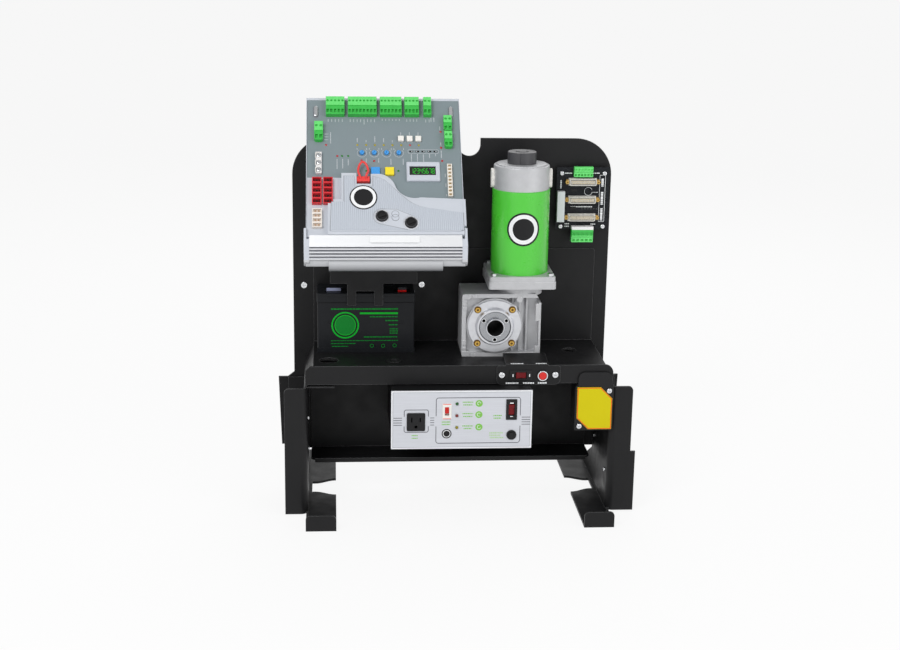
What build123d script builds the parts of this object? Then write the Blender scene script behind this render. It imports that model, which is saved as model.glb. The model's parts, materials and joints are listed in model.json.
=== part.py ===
"""Sliding gate motor: the bare chassis of a slide-gate operator, cover off.

Frame: millimetres, +Z up, +X to the right and +Y to the back, seen from the
front. The origin is on the floor, in the middle of the four anchor slots.
"""
import math
import os

from build123d import *

os.makedirs("parts", exist_ok=True)

# General fits
SEAT = 0.2            # gap between a moving piece and the face that it seats on
SLIDE_FIT = 0.3       # gap around a button or a rocker in its opening
SHAFT_FIT = 0.06      # gap around a shaft in its hole
SHEET = 3.0           # sheet steel of the chassis

# Chassis
CHASSIS_X = 2.5       # middle plane of the legs and the tray
PLATE_X = -2.5        # middle plane of the back plate
PLATE_Y = 29.0        # front face of the back plate
PLATE_WIDTH = 497.0
PLATE_BOTTOM = 60.0
PLATE_TOP = 564.0
PLATE_CORNER = 57.0
SHOULDER_WIDTH = 547.0
SHOULDER_BOTTOM = 67.0
SHOULDER_TOP = 181.0
SHOULDER_TAPER = 4.0
NOTCH_X = 22.5        # cable notch in the top edge of the plate
NOTCH_WIDTH = 34.0
NOTCH_DEPTH = 28.0
TRAY_TOP = 240.0
TRAY_FRONT = -114.0   # front face of the tray lip and of the leg flanges
TRAY_HALF = 222.0
TRAY_LIP_HALF = 234.0
TRAY_LIP = 29.0
TRAY_FLANK_DROP = 35.0
TRAY_FLANK_SPREAD = 14.0
TRAY_REAR_HEIGHT = 150.0
TRAY_REAR_SHEET = 2.0
DRAIN_LEFT = (-196.0, -82.0, 14.5)
DRAIN_RIGHT = (180.0, -31.5, 11.0)
CABLE_HOLE = (-97.0, -88.0, 10.0)
LEG_OUTER_HALF = 234.0
LEG_FLANGE = 32.0
LEG_FLANGE_TOP = 205.0
LEG_FLANGE_BOTTOM = 3.0
LEG_CORNER = 7.0
LEG_BEND = 11.0       # outer radius between the side plate and the front flange
LEG_STEP = 7.5        # the right flange is wider low down
LEG_STEP_TOP = 100.0
FOOT_HALF_LENGTH = 176.0
FOOT_WIDTH = 46.0
FOOT_SHEET = 4.0
FOOT_LIP_HEIGHT = 25.0
SLOT_HALF_INNER = 36.0
SLOT_HALF_OUTER = 23.0
SLOT_LENGTH = 40.0
FLOOR_DEPTH = 59.0
FLOOR_HALF = 222.0

# Controller on the sloping face
CONTROL_X = -112.0
CONTROL_HALF = 119.0
CONTROL_FACE_HALF = 116.0
CONTROL_LEAN = 41.0   # degrees back from the vertical
CONTROL_NOSE_Y = -149.0
CONTROL_NOSE_Z = 432.0
CONTROL_NOSE_HEIGHT = 30.0
CONTROL_LENGTH = 256.0
CONTROL_DEPTH = 42.0
CONTROL_WALL = 2.5
CHEEK_WIDTH = 8.0
NOSE_BAR_RADIUS = 9.0
COVER_HEIGHT = 7.0
SINK_BAND = 15.0       # of the heat sink, up the sloping face
COVER_WALL = 2.0
FACEPLATE = 2.5
BOARD_DROP = 12.0     # from the faceplate's top to the board's top
BOARD_SHEET = 1.6
CAP_SIZE = 13.2       # blue and yellow buttons
WHITE_CAP = 8.8
CAP_HEIGHT = 4.0
BUTTON_TRAVEL = 1.2
TRIMMER_RADIUS = 3.5
KNOB_RADIUS = 9.2
DISPLAY_WIDTH = 50.0
DISPLAY_HEIGHT = 33.0
DISPLAY_WINDOW = (39.2, 15.3)

# Places on the controller's face, across from its middle and up from its lower edge
BLUE = (-13.4, 125.4)
YELLOW = (7.5, 125.4)
WHITE_KEYS = ((25.5, 182.6), (38.6, 182.6), (51.7, 182.6))
PUSH_CAPS = ((*BLUE, CAP_SIZE), (*YELLOW, CAP_SIZE)) + tuple((*key, WHITE_CAP) for key in WHITE_KEYS)
TRIMMERS = tuple((-33.1 + 18.35 * index, 158.3) for index in range(4))
DISPLAY = (57.6, 125.1)
KNOBS = ((-5.4, 45.0), (36.9, 34.0))
RED_SOCKETS = ((-100.2, 91.0), (-83.8, 91.0))
RED_SOCKET = (14.0, 44.5)
WHITE_SOCKET = (-99.8, 44.5, 14.4, 31.0)
TAN_SOCKET = (96.8, 109.5, 7.1, 55.5)
SCREW_TERMINAL = (-97.4, 139.0, 8.8, 36.7)
FACE_SOCKETS = tuple((x, y, *RED_SOCKET) for x, y in RED_SOCKETS) + (
    WHITE_SOCKET, TAN_SOCKET, SCREW_TERMINAL)
TOP_PLUGS = ((-72.6, 28.0), (-31.8, 43.3), (11.2, 32.7), (42.9, 21.7), (66.6, 11.9))
TOP_PLUG_Y = 222.0
PLUG_WAY = 5.4
PLUG_STEP = 1.6       # the plug lies lower than its header
PLUG_EDGE = 0.6
SIDE_PLUGS = ((-97.5, 193.2, 13.0, 32.3), (96.6, 208.0, 12.4, 26.0), (96.7, 179.5, 12.0, 27.2))

# Power box and its panel
PANEL_X = 3.5
PANEL_WIDTH = 213.0
PANEL_BOTTOM = 117.0
PANEL_TOP = 209.0
PANEL_Y = -141.0      # front face of the panel
PANEL_SHEET = 1.5
BOX_WALL = 2.0
OUTLET = (-65.6, 160.0, 27.7, 28.3)
SELECTOR = (-19.0, 176.5, 14.0, 24.3)
SELECTOR_SLOT = (6.6, 13.7)
POWER_SWITCH = (78.6, 178.6, 16.7, 32.5)
POWER_ROCKER = (9.2, 18.2)
BREAKER = (79.2, 138.4)
BREAKER_RADIUS = 7.6
BREAKER_BUTTON = 4.5
LAMP_X = -4.0
LAMP_ROWS = (188.4, 169.6, 151.0)
LAMP_RADIUS = 2.4

# Switch bracket on the tray
BRACKET_LEFT = 57.5
BRACKET_RIGHT = 155.0
BRACKET_BOTTOM = 209.5
BRACKET_SHEET = 2.0
BRACKET_SHELF_LEFT = 71.0
BRACKET_SHELF_RIGHT = 136.0
BRACKET_SHELF_DEPTH = 44.0
BRACKET_SHELF_RISE = 5.0
RELEASE = (94.4, 224.7, 34.8, 16.0)
RELEASE_ROCKER = (17.2, 10.0)
RESET = (127.6, 224.1)
RESET_RING = 8.1
RESET_BUTTON = 5.8

# Rockers
ROCKER_TILT = 8.0     # each way from the middle
ROCKER_PIN = 1.2
ROCKER_AXIS = 3.6     # the pin lies behind the face
ROCKER_PIN_DEPTH = 2.0
ROCKER_FIT = 0.8      # gap at each end, so that the tipped cap stays clear

# Junction box
JUNCTION_LEFT = 178.5
JUNCTION_RIGHT = 238.0
JUNCTION_BOTTOM = 136.0
JUNCTION_TOP = 207.0
JUNCTION_TAB_TOP = 229.0
JUNCTION_BASE = 4.0
JUNCTION_DEPTH = 55.0
JUNCTION_PLATE = 1.5

# Battery
BATTERY_LEFT = -214.0
BATTERY_WIDTH = 151.0
BATTERY_DEPTH = 65.0
BATTERY_HEIGHT = 94.0
BATTERY_GAP = 1.0     # behind the battery, to the tray's upstand

# Hook over the battery, part of the controller's bracket
HOOK_LEFT = -193.5
HOOK_RIGHT = -60.4
HOOK_BOTTOM = 350.0
HOOK_SHIFT = 13.0     # the fork lies left of the middle
PRONG_OFFSET = 20.7
PRONG_WIDTH = 13.7
PRONG_LENGTH = 30.0

# Gearbox: a worm drive of 40 mm centre distance
BORE_X = 57.5
GEAR_Y = -30.5        # middle plane of the wheel and of the worm
GEAR_HALF = 49.5      # bore axis above the tray, and half the housing's height
CENTRE_DISTANCE = 40.0
GEAR_RIGHT = 71.5
GEAR_HALF_DEPTH = 35.5
MODULE = 2.0
WHEEL_TEETH = 30
WORM_STARTS = 1
WORM_PITCH_RADIUS = 10.0
WHEEL_FACE = 18.0
MESH_CLEARANCE = 0.4  # tip to root, and the backlash on each flank
BORE_RADIUS = 12.5
HUB_RADIUS = 17.5
HUB_FLANGE = 24.0
HUB_BOLT_CIRCLE = 40.0
HUB_BOLT_HOLE = 2.45
HUB_BOLT_DEPTH = 9.0
HUB_BOLT_ANGLES = (30.0, 150.0, 270.0)
LUG_PROUD = 1.4
LUG_DEPTH = 4.0
FRAME_LUGS = (        # across and up from the bore's axis, width and height
    (-43.8, 45.4, 11.0, 7.6), (-31.4, 46.4, 5.6, 5.8), (-46.6, 33.6, 6.4, 3.4), (-46.2, 27.2, 6.2, 5.6),
    (-46.6, -27.4, 6.2, 7.4), (-46.8, -36.4, 6.0, 3.2), (-43.6, -45.0, 11.6, 8.0), (-32.0, -46.4, 6.4, 5.8),
    (66.2, 21.0, 5.6, 27.0), (66.2, -40.6, 5.6, 16.0))
COVER_RADIUS = 41.5
COVER_RECESS = 27.5
COVER_THICKNESS = 4.0
COVER_BOSS = 30.0     # foot of the cover's conical boss round the hub
COVER_BOSS_TAPER = 2.6
HUB_PROUD = 6.0       # hub face and boss, in front of the cover's flat ring
COVER_BOLT_CIRCLE = 75.0
COVER_BOLT_HEAD = 4.2

# Motor
FLANGE_WIDTH = 103.0
FLANGE_BOTTOM = 350.0
FLANGE_LOWER = 11.0
FLANGE_UPPER = 8.0
FLANGE_STEP = 1.0
MOTOR_RADIUS = 44.0
MOTOR_WALL = 3.0
MOTOR_BODY_LENGTH = 128.0
END_CAP_RADIUS = 42.5
END_CAP_HEIGHT = 38.0
ENCODER_RADIUS = 22.0
ENCODER_HEIGHT = 18.0
ARMATURE_RADIUS = 30.0
MAGNET_RADIUS = 31.0
MOTOR_SHAFT = 6.0
BRUSH_RADIUS = 8.0

# Sensor board on the back plate
SENSOR_X = 200.0
SENSOR_Z = 470.5
SENSOR_WIDTH = 82.5
SENSOR_HEIGHT = 98.0
SENSOR_STAND = 10.4
SENSOR_SCREWS = (66.8, 84.0)
PLUG_ROWS = (498.5, 470.5, 442.5)
UPPER_SENSOR_PLUG = (199.5, 514.6, 29.6, 15.8)
LOWER_SENSOR_PLUG = (200.3, 412.5, 34.0, 17.0)
SENSOR_HEADER = (159.7, 171.2, 436.0, 484.0)
PLUG_PITCH = 48.8

# Values worked out from the above
BORE_Z = TRAY_TOP + GEAR_HALF
WORM_X = BORE_X + CENTRE_DISTANCE
WORM_PITCH = math.pi * MODULE * WORM_STARTS
WHEEL_PITCH_RADIUS = MODULE * WHEEL_TEETH / 2
CLEARANCE_HOLE = HUB_FLANGE + 12.0
LEG_INNER = LEG_OUTER_HALF - SHEET
TRAY_REAR_Y = PLATE_Y - TRAY_REAR_SHEET
BRACKET_FACE = TRAY_FRONT - BRACKET_SHEET
SENSOR_FACE = PLATE_Y - SENSOR_STAND - BOARD_SHEET
FLANGE_TOP = FLANGE_BOTTOM + FLANGE_LOWER + FLANGE_UPPER
MOTOR_TOP = FLANGE_TOP + MOTOR_BODY_LENGTH
END_CAP_TOP = MOTOR_TOP + END_CAP_HEIGHT
ENCODER_TOP = END_CAP_TOP + ENCODER_HEIGHT
BRUSH_Z = (MOTOR_TOP + END_CAP_TOP - 7) / 2
WORM_CORE = WORM_PITCH_RADIUS - MODULE - MESH_CLEARANCE
SCREW_HEAD = 4.6


# Helpers

def block(x0, x1, y0, y1, z0, z1):
    """A box between two corners."""
    size = Box(x1 - x0, y1 - y0, z1 - z0)
    return Pos((x0 + x1) / 2, (y0 + y1) / 2, (z0 + z1) / 2) * size


def upright(sketch, front, depth):
    """An outline in X and Z, with its front face at Y = front."""
    return Pos(0, front, 0) * extrude(Plane.XZ * sketch, amount=-depth)


def sideways(sketch, left, width):
    """An outline in Y and Z, from X = left to the right."""
    return Pos(left, 0, 0) * extrude(Plane.YZ * sketch, amount=width)


def level(sketch, bottom, height):
    """An outline in X and Y, from Z = bottom upwards."""
    return Pos(0, 0, bottom) * extrude(sketch, amount=height)


def panel(x, z, width, height, corner=0.0):
    """A rectangle on an upright plane, with round corners."""
    shape = RectangleRounded(width, height, corner) if corner else Rectangle(width, height)
    return Pos(x, z) * shape


def outline(*points):
    """A closed outline with straight sides."""
    return make_face(Polyline(*points, close=True))


def rod_y(x, z, front, back, radius):
    """A round bar along Y."""
    return Pos(x, (front + back) / 2, z) * Rot(90, 0, 0) * Cylinder(radius, back - front)


def rod_z(x, y, bottom, top, radius):
    """A round bar along Z."""
    return Pos(x, y, (bottom + top) / 2) * Cylinder(radius, top - bottom)


def rod_x(y, z, left, right, radius):
    """A round bar along X."""
    return Pos((left + right) / 2, y, z) * Rot(0, 90, 0) * Cylinder(radius, right - left)


def join(pieces):
    """One solid, or one group, made of several pieces."""
    pieces = list(pieces)
    return pieces[0].fuse(*pieces[1:]) if len(pieces) > 1 else pieces[0]


def screw_y(x, z, seat, radius=SCREW_HEAD, height=2.4, slot=True):
    """A pan-head screw that sits on an upright face and points back."""
    head = rod_y(x, z, seat - height, seat, radius)
    head = fillet(head.edges().group_by(Axis.Y)[0], height * 0.45)
    if slot:
        for turn in (0, 90):
            cut = Rot(0, turn, 0) * Box(radius * 1.1, 1.4, 0.9)
            head -= Pos(x, seat - height + 0.7, z) * cut
    return head


# Where the controller's sloping face lies: X across, Y up the slope, Z outwards
FACE = Pos(CONTROL_X, CONTROL_NOSE_Y, CONTROL_NOSE_Z) * Rot(90 - CONTROL_LEAN, 0, 0)


# Back plate and lower panel

def back_plate():
    """The upright plate with a cable notch, shoulders and round top corners."""
    half = PLATE_WIDTH / 2
    middle = (PLATE_BOTTOM + PLATE_TOP) / 2
    face = Pos(0, middle) * Rectangle(PLATE_WIDTH, PLATE_TOP - PLATE_BOTTOM)
    face = fillet(face.vertices().group_by(Axis.Y)[-1], PLATE_CORNER)
    wide = SHOULDER_WIDTH / 2
    narrow = wide - SHOULDER_TAPER
    shoulders = outline(
        (-narrow, SHOULDER_BOTTOM), (narrow, SHOULDER_BOTTOM),
        (wide, SHOULDER_TOP), (-wide, SHOULDER_TOP))
    ramp = outline(
        (-half - 10, SHOULDER_TOP), (half + 10, SHOULDER_TOP),
        (half, SHOULDER_TOP + 8), (-half, SHOULDER_TOP + 8))
    face = Pos(PLATE_X, 0) * (face + shoulders + ramp)
    radius = NOTCH_WIDTH / 2
    face -= Pos(NOTCH_X, PLATE_TOP - NOTCH_DEPTH + radius) * Circle(radius)
    opening = NOTCH_DEPTH - radius
    face -= Pos(NOTCH_X, PLATE_TOP - opening / 2) * Rectangle(NOTCH_WIDTH, opening)
    face -= Pos(BORE_X, BORE_Z) * Circle(CLEARANCE_HOLE)
    return upright(face, PLATE_Y, SHEET)


def lower_panel():
    """An angle of sheet at the foot of the plate, with a floor that comes forward."""
    front = PLATE_Y - FLOOR_DEPTH
    corner = 6.0
    floor = outline(
        (-FLOOR_HALF + corner, front), (FLOOR_HALF - corner, front),
        (FLOOR_HALF, front + corner), (FLOOR_HALF, PLATE_Y),
        (-FLOOR_HALF, PLATE_Y), (-FLOOR_HALF, front + corner))
    body = level(floor, PLATE_BOTTOM, SHEET)
    lip_half = FLOOR_HALF - corner
    body += block(-lip_half, lip_half, front, front + SHEET, PLATE_BOTTOM - 4, PLATE_BOTTOM + SHEET)
    wall_top = TRAY_TOP - TRAY_FLANK_DROP
    body += block(-FLOOR_HALF, FLOOR_HALF, PLATE_Y - SHEET, PLATE_Y, PLATE_BOTTOM, wall_top)
    return Pos(PLATE_X, 0, 0) * body


# Tray

def tray_flank_section():
    """The sloping side of the tray, in X and Z, for the right side."""
    low = TRAY_TOP - TRAY_FLANK_DROP
    out = TRAY_HALF + TRAY_FLANK_SPREAD
    return outline(
        (TRAY_HALF - SHEET, TRAY_TOP), (TRAY_HALF, TRAY_TOP),
        (out, low), (out - SHEET * 0.8, low), (TRAY_HALF - SHEET, TRAY_TOP - SHEET))


def shelf():
    """The tray: a top with a front lip, sloping flanks and a rear upstand."""
    depth = PLATE_Y - TRAY_FRONT
    body = block(-TRAY_HALF, TRAY_HALF, TRAY_FRONT, PLATE_Y, TRAY_TOP - SHEET, TRAY_TOP)
    lip = Pos(0, TRAY_TOP - TRAY_LIP / 2) * Rectangle(2 * TRAY_LIP_HALF, TRAY_LIP)
    corners = lip.vertices().group_by(Axis.Y)[-1].sort_by(Axis.X)
    lip = chamfer(corners[0], 7.0)
    corners = lip.vertices().group_by(Axis.Y)[-1].sort_by(Axis.X)
    lip = fillet(corners[-1], 13.0)
    body += upright(lip, TRAY_FRONT, SHEET)
    section = tray_flank_section()
    for side in (section, mirror(section, Plane.YZ)):
        body += upright(side, TRAY_FRONT, depth)
    rear = Pos(0, TRAY_TOP + TRAY_REAR_HEIGHT / 2) * Rectangle(2 * TRAY_HALF, TRAY_REAR_HEIGHT)
    rear = fillet(rear.vertices().group_by(Axis.Y)[-1], 4.0)
    body += upright(rear, TRAY_REAR_Y, TRAY_REAR_SHEET)
    ledge_z = TRAY_TOP - TRAY_FLANK_DROP
    ledge_y = TRAY_FRONT + SHEET + 1
    ledge_left = -TRAY_HALF - TRAY_FLANK_SPREAD + SHEET * 0.5
    body += block(ledge_left, -TRAY_HALF + 32, ledge_y, ledge_y + 30, ledge_z, ledge_z + 2)
    body = Pos(CHASSIS_X, 0, 0) * body
    for x, y, radius in (DRAIN_LEFT, DRAIN_RIGHT, CABLE_HOLE):
        body -= rod_z(x, y, TRAY_TOP - 2 * SHEET, TRAY_TOP + 1, radius)
    body -= rod_y(BORE_X, BORE_Z, TRAY_REAR_Y - 1, PLATE_Y + 1, CLEARANCE_HOLE)
    return body


# Legs

def foot_slot():
    """The anchor slot, open at the inner edge, which flares inwards."""
    reach = SLOT_LENGTH
    edge = FOOT_WIDTH + 2
    upper = Spline((edge, SLOT_HALF_INNER), (edge - 8, SLOT_HALF_INNER - 1),
                   (edge - reach, SLOT_HALF_OUTER), tangents=((-1, 0), (-1, 0.2)))
    lower = Spline((edge, -SLOT_HALF_INNER), (edge - 8, -SLOT_HALF_INNER + 1),
                   (edge - reach, -SLOT_HALF_OUTER), tangents=((-1, 0), (-1, -0.2)))
    ends = Line(upper @ 1, lower @ 1), Line(lower @ 0, upper @ 0)
    return make_face(Curve() + [upper, ends[0], lower, ends[1]])


def leg(step):
    """One leg, for the left: side plate, flanges and a foot that points inwards."""
    outer = -LEG_OUTER_HALF
    slope = TRAY_FLANK_SPREAD / TRAY_FLANK_DROP
    flank_inner = TRAY_HALF + TRAY_FLANK_SPREAD - SHEET * 0.8
    low = TRAY_TOP - TRAY_FLANK_DROP
    side_top = low + (flank_inner - LEG_OUTER_HALF) / slope - SEAT
    side = outline(
        (TRAY_FRONT, LEG_FLANGE_BOTTOM), (TRAY_FRONT, side_top), (PLATE_Y, side_top),
        (PLATE_Y, PLATE_BOTTOM - 3), (FOOT_HALF_LENGTH - 40, 0), (TRAY_FRONT - 22, 0),
        (TRAY_FRONT - 8, LEG_FLANGE_BOTTOM + 8))
    body = sideways(side, outer, SHEET)
    height = LEG_FLANGE_TOP - LEG_FLANGE_BOTTOM
    middle = (LEG_FLANGE_TOP + LEG_FLANGE_BOTTOM) / 2
    flange = Pos(outer - LEG_FLANGE / 2 + SHEET / 2, middle) * Rectangle(LEG_FLANGE + SHEET, height)
    flange = fillet(flange.vertices().group_by(Axis.Y)[-1].sort_by(Axis.X)[0], LEG_CORNER)
    if step:
        rise = LEG_STEP_TOP - LEG_FLANGE_BOTTOM
        wing = Pos(outer - LEG_FLANGE - step / 2 + 2, LEG_FLANGE_BOTTOM + rise / 2)
        flange += wing * Rectangle(step + 4, rise)
    body += upright(flange, TRAY_FRONT, SHEET)
    corner = Pos(outer + SHEET - LEG_BEND / 2, TRAY_FRONT + LEG_BEND / 2) * Rectangle(LEG_BEND, LEG_BEND)
    bend = Circle(LEG_BEND) - Circle(LEG_BEND - SHEET)
    turn = Pos(outer + SHEET - LEG_BEND, TRAY_FRONT + LEG_BEND) * bend
    body -= level(corner, LEG_FLANGE_BOTTOM, height)
    body += level(turn & corner, LEG_FLANGE_BOTTOM, height)
    rear_height = SHOULDER_TOP - SHOULDER_BOTTOM
    rear = Pos(outer - LEG_FLANGE / 2 + SHEET / 2, SHOULDER_BOTTOM + rear_height / 2)
    body += upright(rear * Rectangle(LEG_FLANGE - 6 + SHEET, rear_height), PLATE_Y - SHEET, SHEET)
    foot = Rectangle(FOOT_WIDTH, 2 * FOOT_HALF_LENGTH)
    foot = Pos(outer + FOOT_WIDTH / 2, 0) * foot
    foot -= Pos(outer, 0) * foot_slot()
    body += level(foot, 0, FOOT_SHEET)
    lip = Pos(outer + FOOT_WIDTH / 2, FOOT_LIP_HEIGHT / 2) * Rectangle(FOOT_WIDTH, FOOT_LIP_HEIGHT)
    lip = fillet(lip.vertices().group_by(Axis.Y)[-1], 7.0)
    body += upright(lip, -FOOT_HALF_LENGTH, SHEET)
    return body


def left_leg():
    """The leg on the left."""
    return Pos(CHASSIS_X, 0, 0) * leg(0.0)


def right_leg():
    """The leg on the right, whose flange is wider low down."""
    return Pos(CHASSIS_X, 0, 0) * mirror(leg(LEG_STEP), Plane.YZ)


# Power box

def power_box():
    """The sheet box behind the silver panel, open at the front."""
    left = PANEL_X - PANEL_WIDTH / 2 + 1
    right = PANEL_X + PANEL_WIDTH / 2 - 1
    front = PANEL_Y + PANEL_SHEET
    back = PLATE_Y - SHEET
    body = block(left, right, front, back, PANEL_BOTTOM + 1, PANEL_TOP)
    body = fillet(body.edges().filter_by(Axis.Y), 1.5)
    body -= block(left + BOX_WALL, right - BOX_WALL, front - 1, back - BOX_WALL,
                  PANEL_BOTTOM + 1 + BOX_WALL, PANEL_TOP - BOX_WALL)
    return body


def power_panel():
    """The silver panel with its openings."""
    middle = (PANEL_BOTTOM + PANEL_TOP) / 2
    face = panel(PANEL_X, middle, PANEL_WIDTH, PANEL_TOP - PANEL_BOTTOM, 1.0)
    for x, z, width, height in (OUTLET, SELECTOR, POWER_SWITCH):
        face -= panel(x, z, width - 2, height - 2)
    face -= Pos(*BREAKER) * Circle(BREAKER_RADIUS - 1)
    for z in LAMP_ROWS:
        face -= Pos(LAMP_X, z) * Circle(LAMP_RADIUS - 0.4)
    return upright(face, PANEL_Y, PANEL_SHEET)


def stepped_insert(x, z, width, height, corner, proud, depth):
    """A moulded insert: a bezel on the panel and a smaller body behind it."""
    body = upright(panel(x, z, width, height, corner), PANEL_Y - proud, proud)
    body = fillet(body.edges().group_by(Axis.Y)[0], 0.5)
    return body + upright(panel(x, z, width - 2.2, height - 2.2), PANEL_Y - proud / 2, depth)


def power_outlet():
    """A three-pin outlet with its blade slots."""
    x, z, width, height = OUTLET
    body = stepped_insert(x, z, width, height, 2.0, 1.6, 24.0)
    for offset, blade in ((-6.35, 8.0), (6.35, 6.6)):
        body -= upright(panel(x + offset, z + 3.5, 1.8, blade), PANEL_Y - 2, 18)
    body -= rod_y(x, z - 7.5, PANEL_Y - 2, PANEL_Y + 16, 2.4)
    return body


def voltage_selector_body():
    """The white frame of the slide selector."""
    x, z, width, height = SELECTOR
    body = stepped_insert(x, z, width, height, 1.0, 1.2, 12.0)
    slot = upright(panel(x, z, *SELECTOR_SLOT, 0.6), PANEL_Y - 3, 3 + 6)
    return body - slot


def voltage_slider():
    """The red slider in the selector's slot, at the top of its travel."""
    x, z = SELECTOR[:2]
    width, height = SELECTOR_SLOT
    length = height * 0.7
    top = z + height / 2 - SLIDE_FIT
    body = block(x - width / 2 + SLIDE_FIT, x + width / 2 - SLIDE_FIT,
                 PANEL_Y - 0.6, PANEL_Y + 6 - SEAT, top - length, top)
    for step in range(4):
        groove = top - length * (step + 1) / 5
        body -= block(x - width, x + width, PANEL_Y - 1, PANEL_Y, groove - 0.35, groove + 0.35)
    return body


def rocker(length, width, thickness):
    """A rocker cap along X with its pin at the origin, front towards -Y, tipped to one side."""
    half = length / 2 - ROCKER_FIT
    rise = half * math.tan(math.radians(ROCKER_TILT))
    shape = outline(
        (-half, -thickness), (half, -thickness), (half, rise + 1.2), (0, 0.4), (-half, rise + 1.2))
    body = extrude(Plane.XY * shape, amount=width / 2 - SLIDE_FIT, both=True)
    body = Rot(180, 0, 0) * body
    body = fillet(body.edges().filter_by(Axis.Z).sort_by(Axis.Y)[:2], 0.6)
    body = Pos(0, -ROCKER_PIN_DEPTH, 0) * body
    body += rod_z(0, 0, -width / 2 - 1.4, width / 2 + 1.4, ROCKER_PIN)
    return Rot(0, 0, ROCKER_TILT) * body


def power_rocker():
    """The red rocker of the power switch, which tips about a pin along X."""
    x, z = POWER_SWITCH[:2]
    width, length = POWER_ROCKER
    return Pos(x, PANEL_Y + ROCKER_AXIS, z) * Rot(0, 90, 0) * rocker(length, width, 4.0)


def release_rocker():
    """The dark red rocker on the tray's bracket, which tips about a pin along Z."""
    x, z = RELEASE[:2]
    length, width = RELEASE_ROCKER
    return Pos(x, BRACKET_FACE + ROCKER_AXIS, z) * rocker(length, width, 4.0)


def pin_bore(x, y, z, half, along):
    """The hole in a bezel where a rocker's pin turns."""
    radius = ROCKER_PIN + SHAFT_FIT
    if along == "X":
        return rod_x(y, z, x - half - 1.8, x + half + 1.8, radius)
    return rod_z(x, y, z - half - 1.8, z + half + 1.8, radius)


def switch_bezels():
    """The black frames of the two rockers and the ring of the reset button."""
    x, z, width, height = POWER_SWITCH
    power = upright(panel(x, z, width, height, 1.2), PANEL_Y - 1.4, 1.4)
    power = fillet(power.edges().group_by(Axis.Y)[0], 0.5)
    power += upright(panel(x, z, width - 2.2, height - 2.2), PANEL_Y - 0.7, 16)
    power -= upright(panel(x, z, *POWER_ROCKER), PANEL_Y - 3, 3 + 10)
    power -= pin_bore(x, PANEL_Y + ROCKER_AXIS, z, POWER_ROCKER[0] / 2, "X")
    x, z, width, height = RELEASE
    release = upright(panel(x, z, width, height, 1.2), BRACKET_FACE - 1.4, 1.4)
    release = fillet(release.edges().group_by(Axis.Y)[0], 0.5)
    release += upright(panel(x, z, width - 2.2, height - 2.2), BRACKET_FACE - 0.7, 16)
    release -= upright(panel(x, z, *RELEASE_ROCKER), BRACKET_FACE - 3, 3 + 10)
    release -= pin_bore(x, BRACKET_FACE + ROCKER_AXIS, z, RELEASE_ROCKER[1] / 2, "Z")
    x, z = RESET
    ring = rod_y(x, z, BRACKET_FACE - 2.6, BRACKET_FACE, RESET_RING)
    ring = fillet(ring.edges().group_by(Axis.Y)[0], 0.8)
    ring += rod_y(x, z, BRACKET_FACE - 1, BRACKET_FACE + 14, RESET_RING - 1.2)
    ring -= rod_y(x, z, BRACKET_FACE - 3, BRACKET_FACE + 9, RESET_BUTTON + SLIDE_FIT)
    return Compound([power, release, ring])


def reset_button():
    """The round red button in its ring."""
    x, z = RESET
    body = rod_y(x, z, BRACKET_FACE - 4.2, BRACKET_FACE + 9 - BUTTON_TRAVEL - SEAT, RESET_BUTTON)
    return fillet(body.edges().group_by(Axis.Y)[0], 1.2)


def breaker_body():
    """The round body of the push-to-reset breaker."""
    x, z = BREAKER
    body = rod_y(x, z, PANEL_Y - 2.2, PANEL_Y, BREAKER_RADIUS)
    body = fillet(body.edges().group_by(Axis.Y)[0], 0.7)
    body += rod_y(x, z, PANEL_Y - 1, PANEL_Y + 22, BREAKER_RADIUS - 1.2)
    return body - rod_y(x, z, PANEL_Y - 3, PANEL_Y + 8, BREAKER_BUTTON + SLIDE_FIT)


def breaker_button():
    """The black button of the breaker."""
    x, z = BREAKER
    body = rod_y(x, z, PANEL_Y - 4.5, PANEL_Y + 8 - BUTTON_TRAVEL - SEAT, BREAKER_BUTTON)
    return fillet(body.edges().group_by(Axis.Y)[0], 0.9)


def panel_leds():
    """Three round lamps on the panel."""
    lamps = []
    for z in LAMP_ROWS:
        lamp = rod_y(LAMP_X, z, PANEL_Y - 1.4, PANEL_Y, LAMP_RADIUS)
        lamp = fillet(lamp.edges().group_by(Axis.Y)[0], 0.9)
        lamps.append(lamp + rod_y(LAMP_X, z, PANEL_Y - 0.5, PANEL_Y + 6, LAMP_RADIUS - 0.4))
    return Compound(lamps)


def switch_bracket():
    """The angle that carries the release switch and the reset button."""
    middle = (BRACKET_LEFT + BRACKET_RIGHT) / 2
    height = TRAY_TOP - BRACKET_BOTTOM
    face = panel(middle, BRACKET_BOTTOM + height / 2, BRACKET_RIGHT - BRACKET_LEFT, height)
    face = fillet(face.vertices().group_by(Axis.Y)[0], 9.0)
    face = fillet(face.vertices().group_by(Axis.Y)[-1], 5.0)
    face -= panel(*RELEASE[:2], RELEASE[2] - 2, RELEASE[3] - 2)
    face -= Pos(*RESET) * Circle(RESET_RING - 1)
    body = upright(face, BRACKET_FACE, BRACKET_SHEET)
    left, right = BRACKET_SHELF_LEFT, BRACKET_SHELF_RIGHT
    back = BRACKET_FACE + BRACKET_SHELF_DEPTH
    low, high = TRAY_TOP + BRACKET_SHEET, TRAY_TOP + BRACKET_SHEET + BRACKET_SHELF_RISE
    top = outline(
        (BRACKET_FACE, TRAY_TOP - 4), (BRACKET_FACE, low), (back, high), (back, TRAY_TOP),
        (back - BRACKET_SHEET, TRAY_TOP), (back - BRACKET_SHEET, high - BRACKET_SHEET),
        (TRAY_FRONT + 8, TRAY_TOP), (TRAY_FRONT, TRAY_TOP), (TRAY_FRONT, TRAY_TOP - 4))
    return body + sideways(top, left, right - left)


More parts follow.
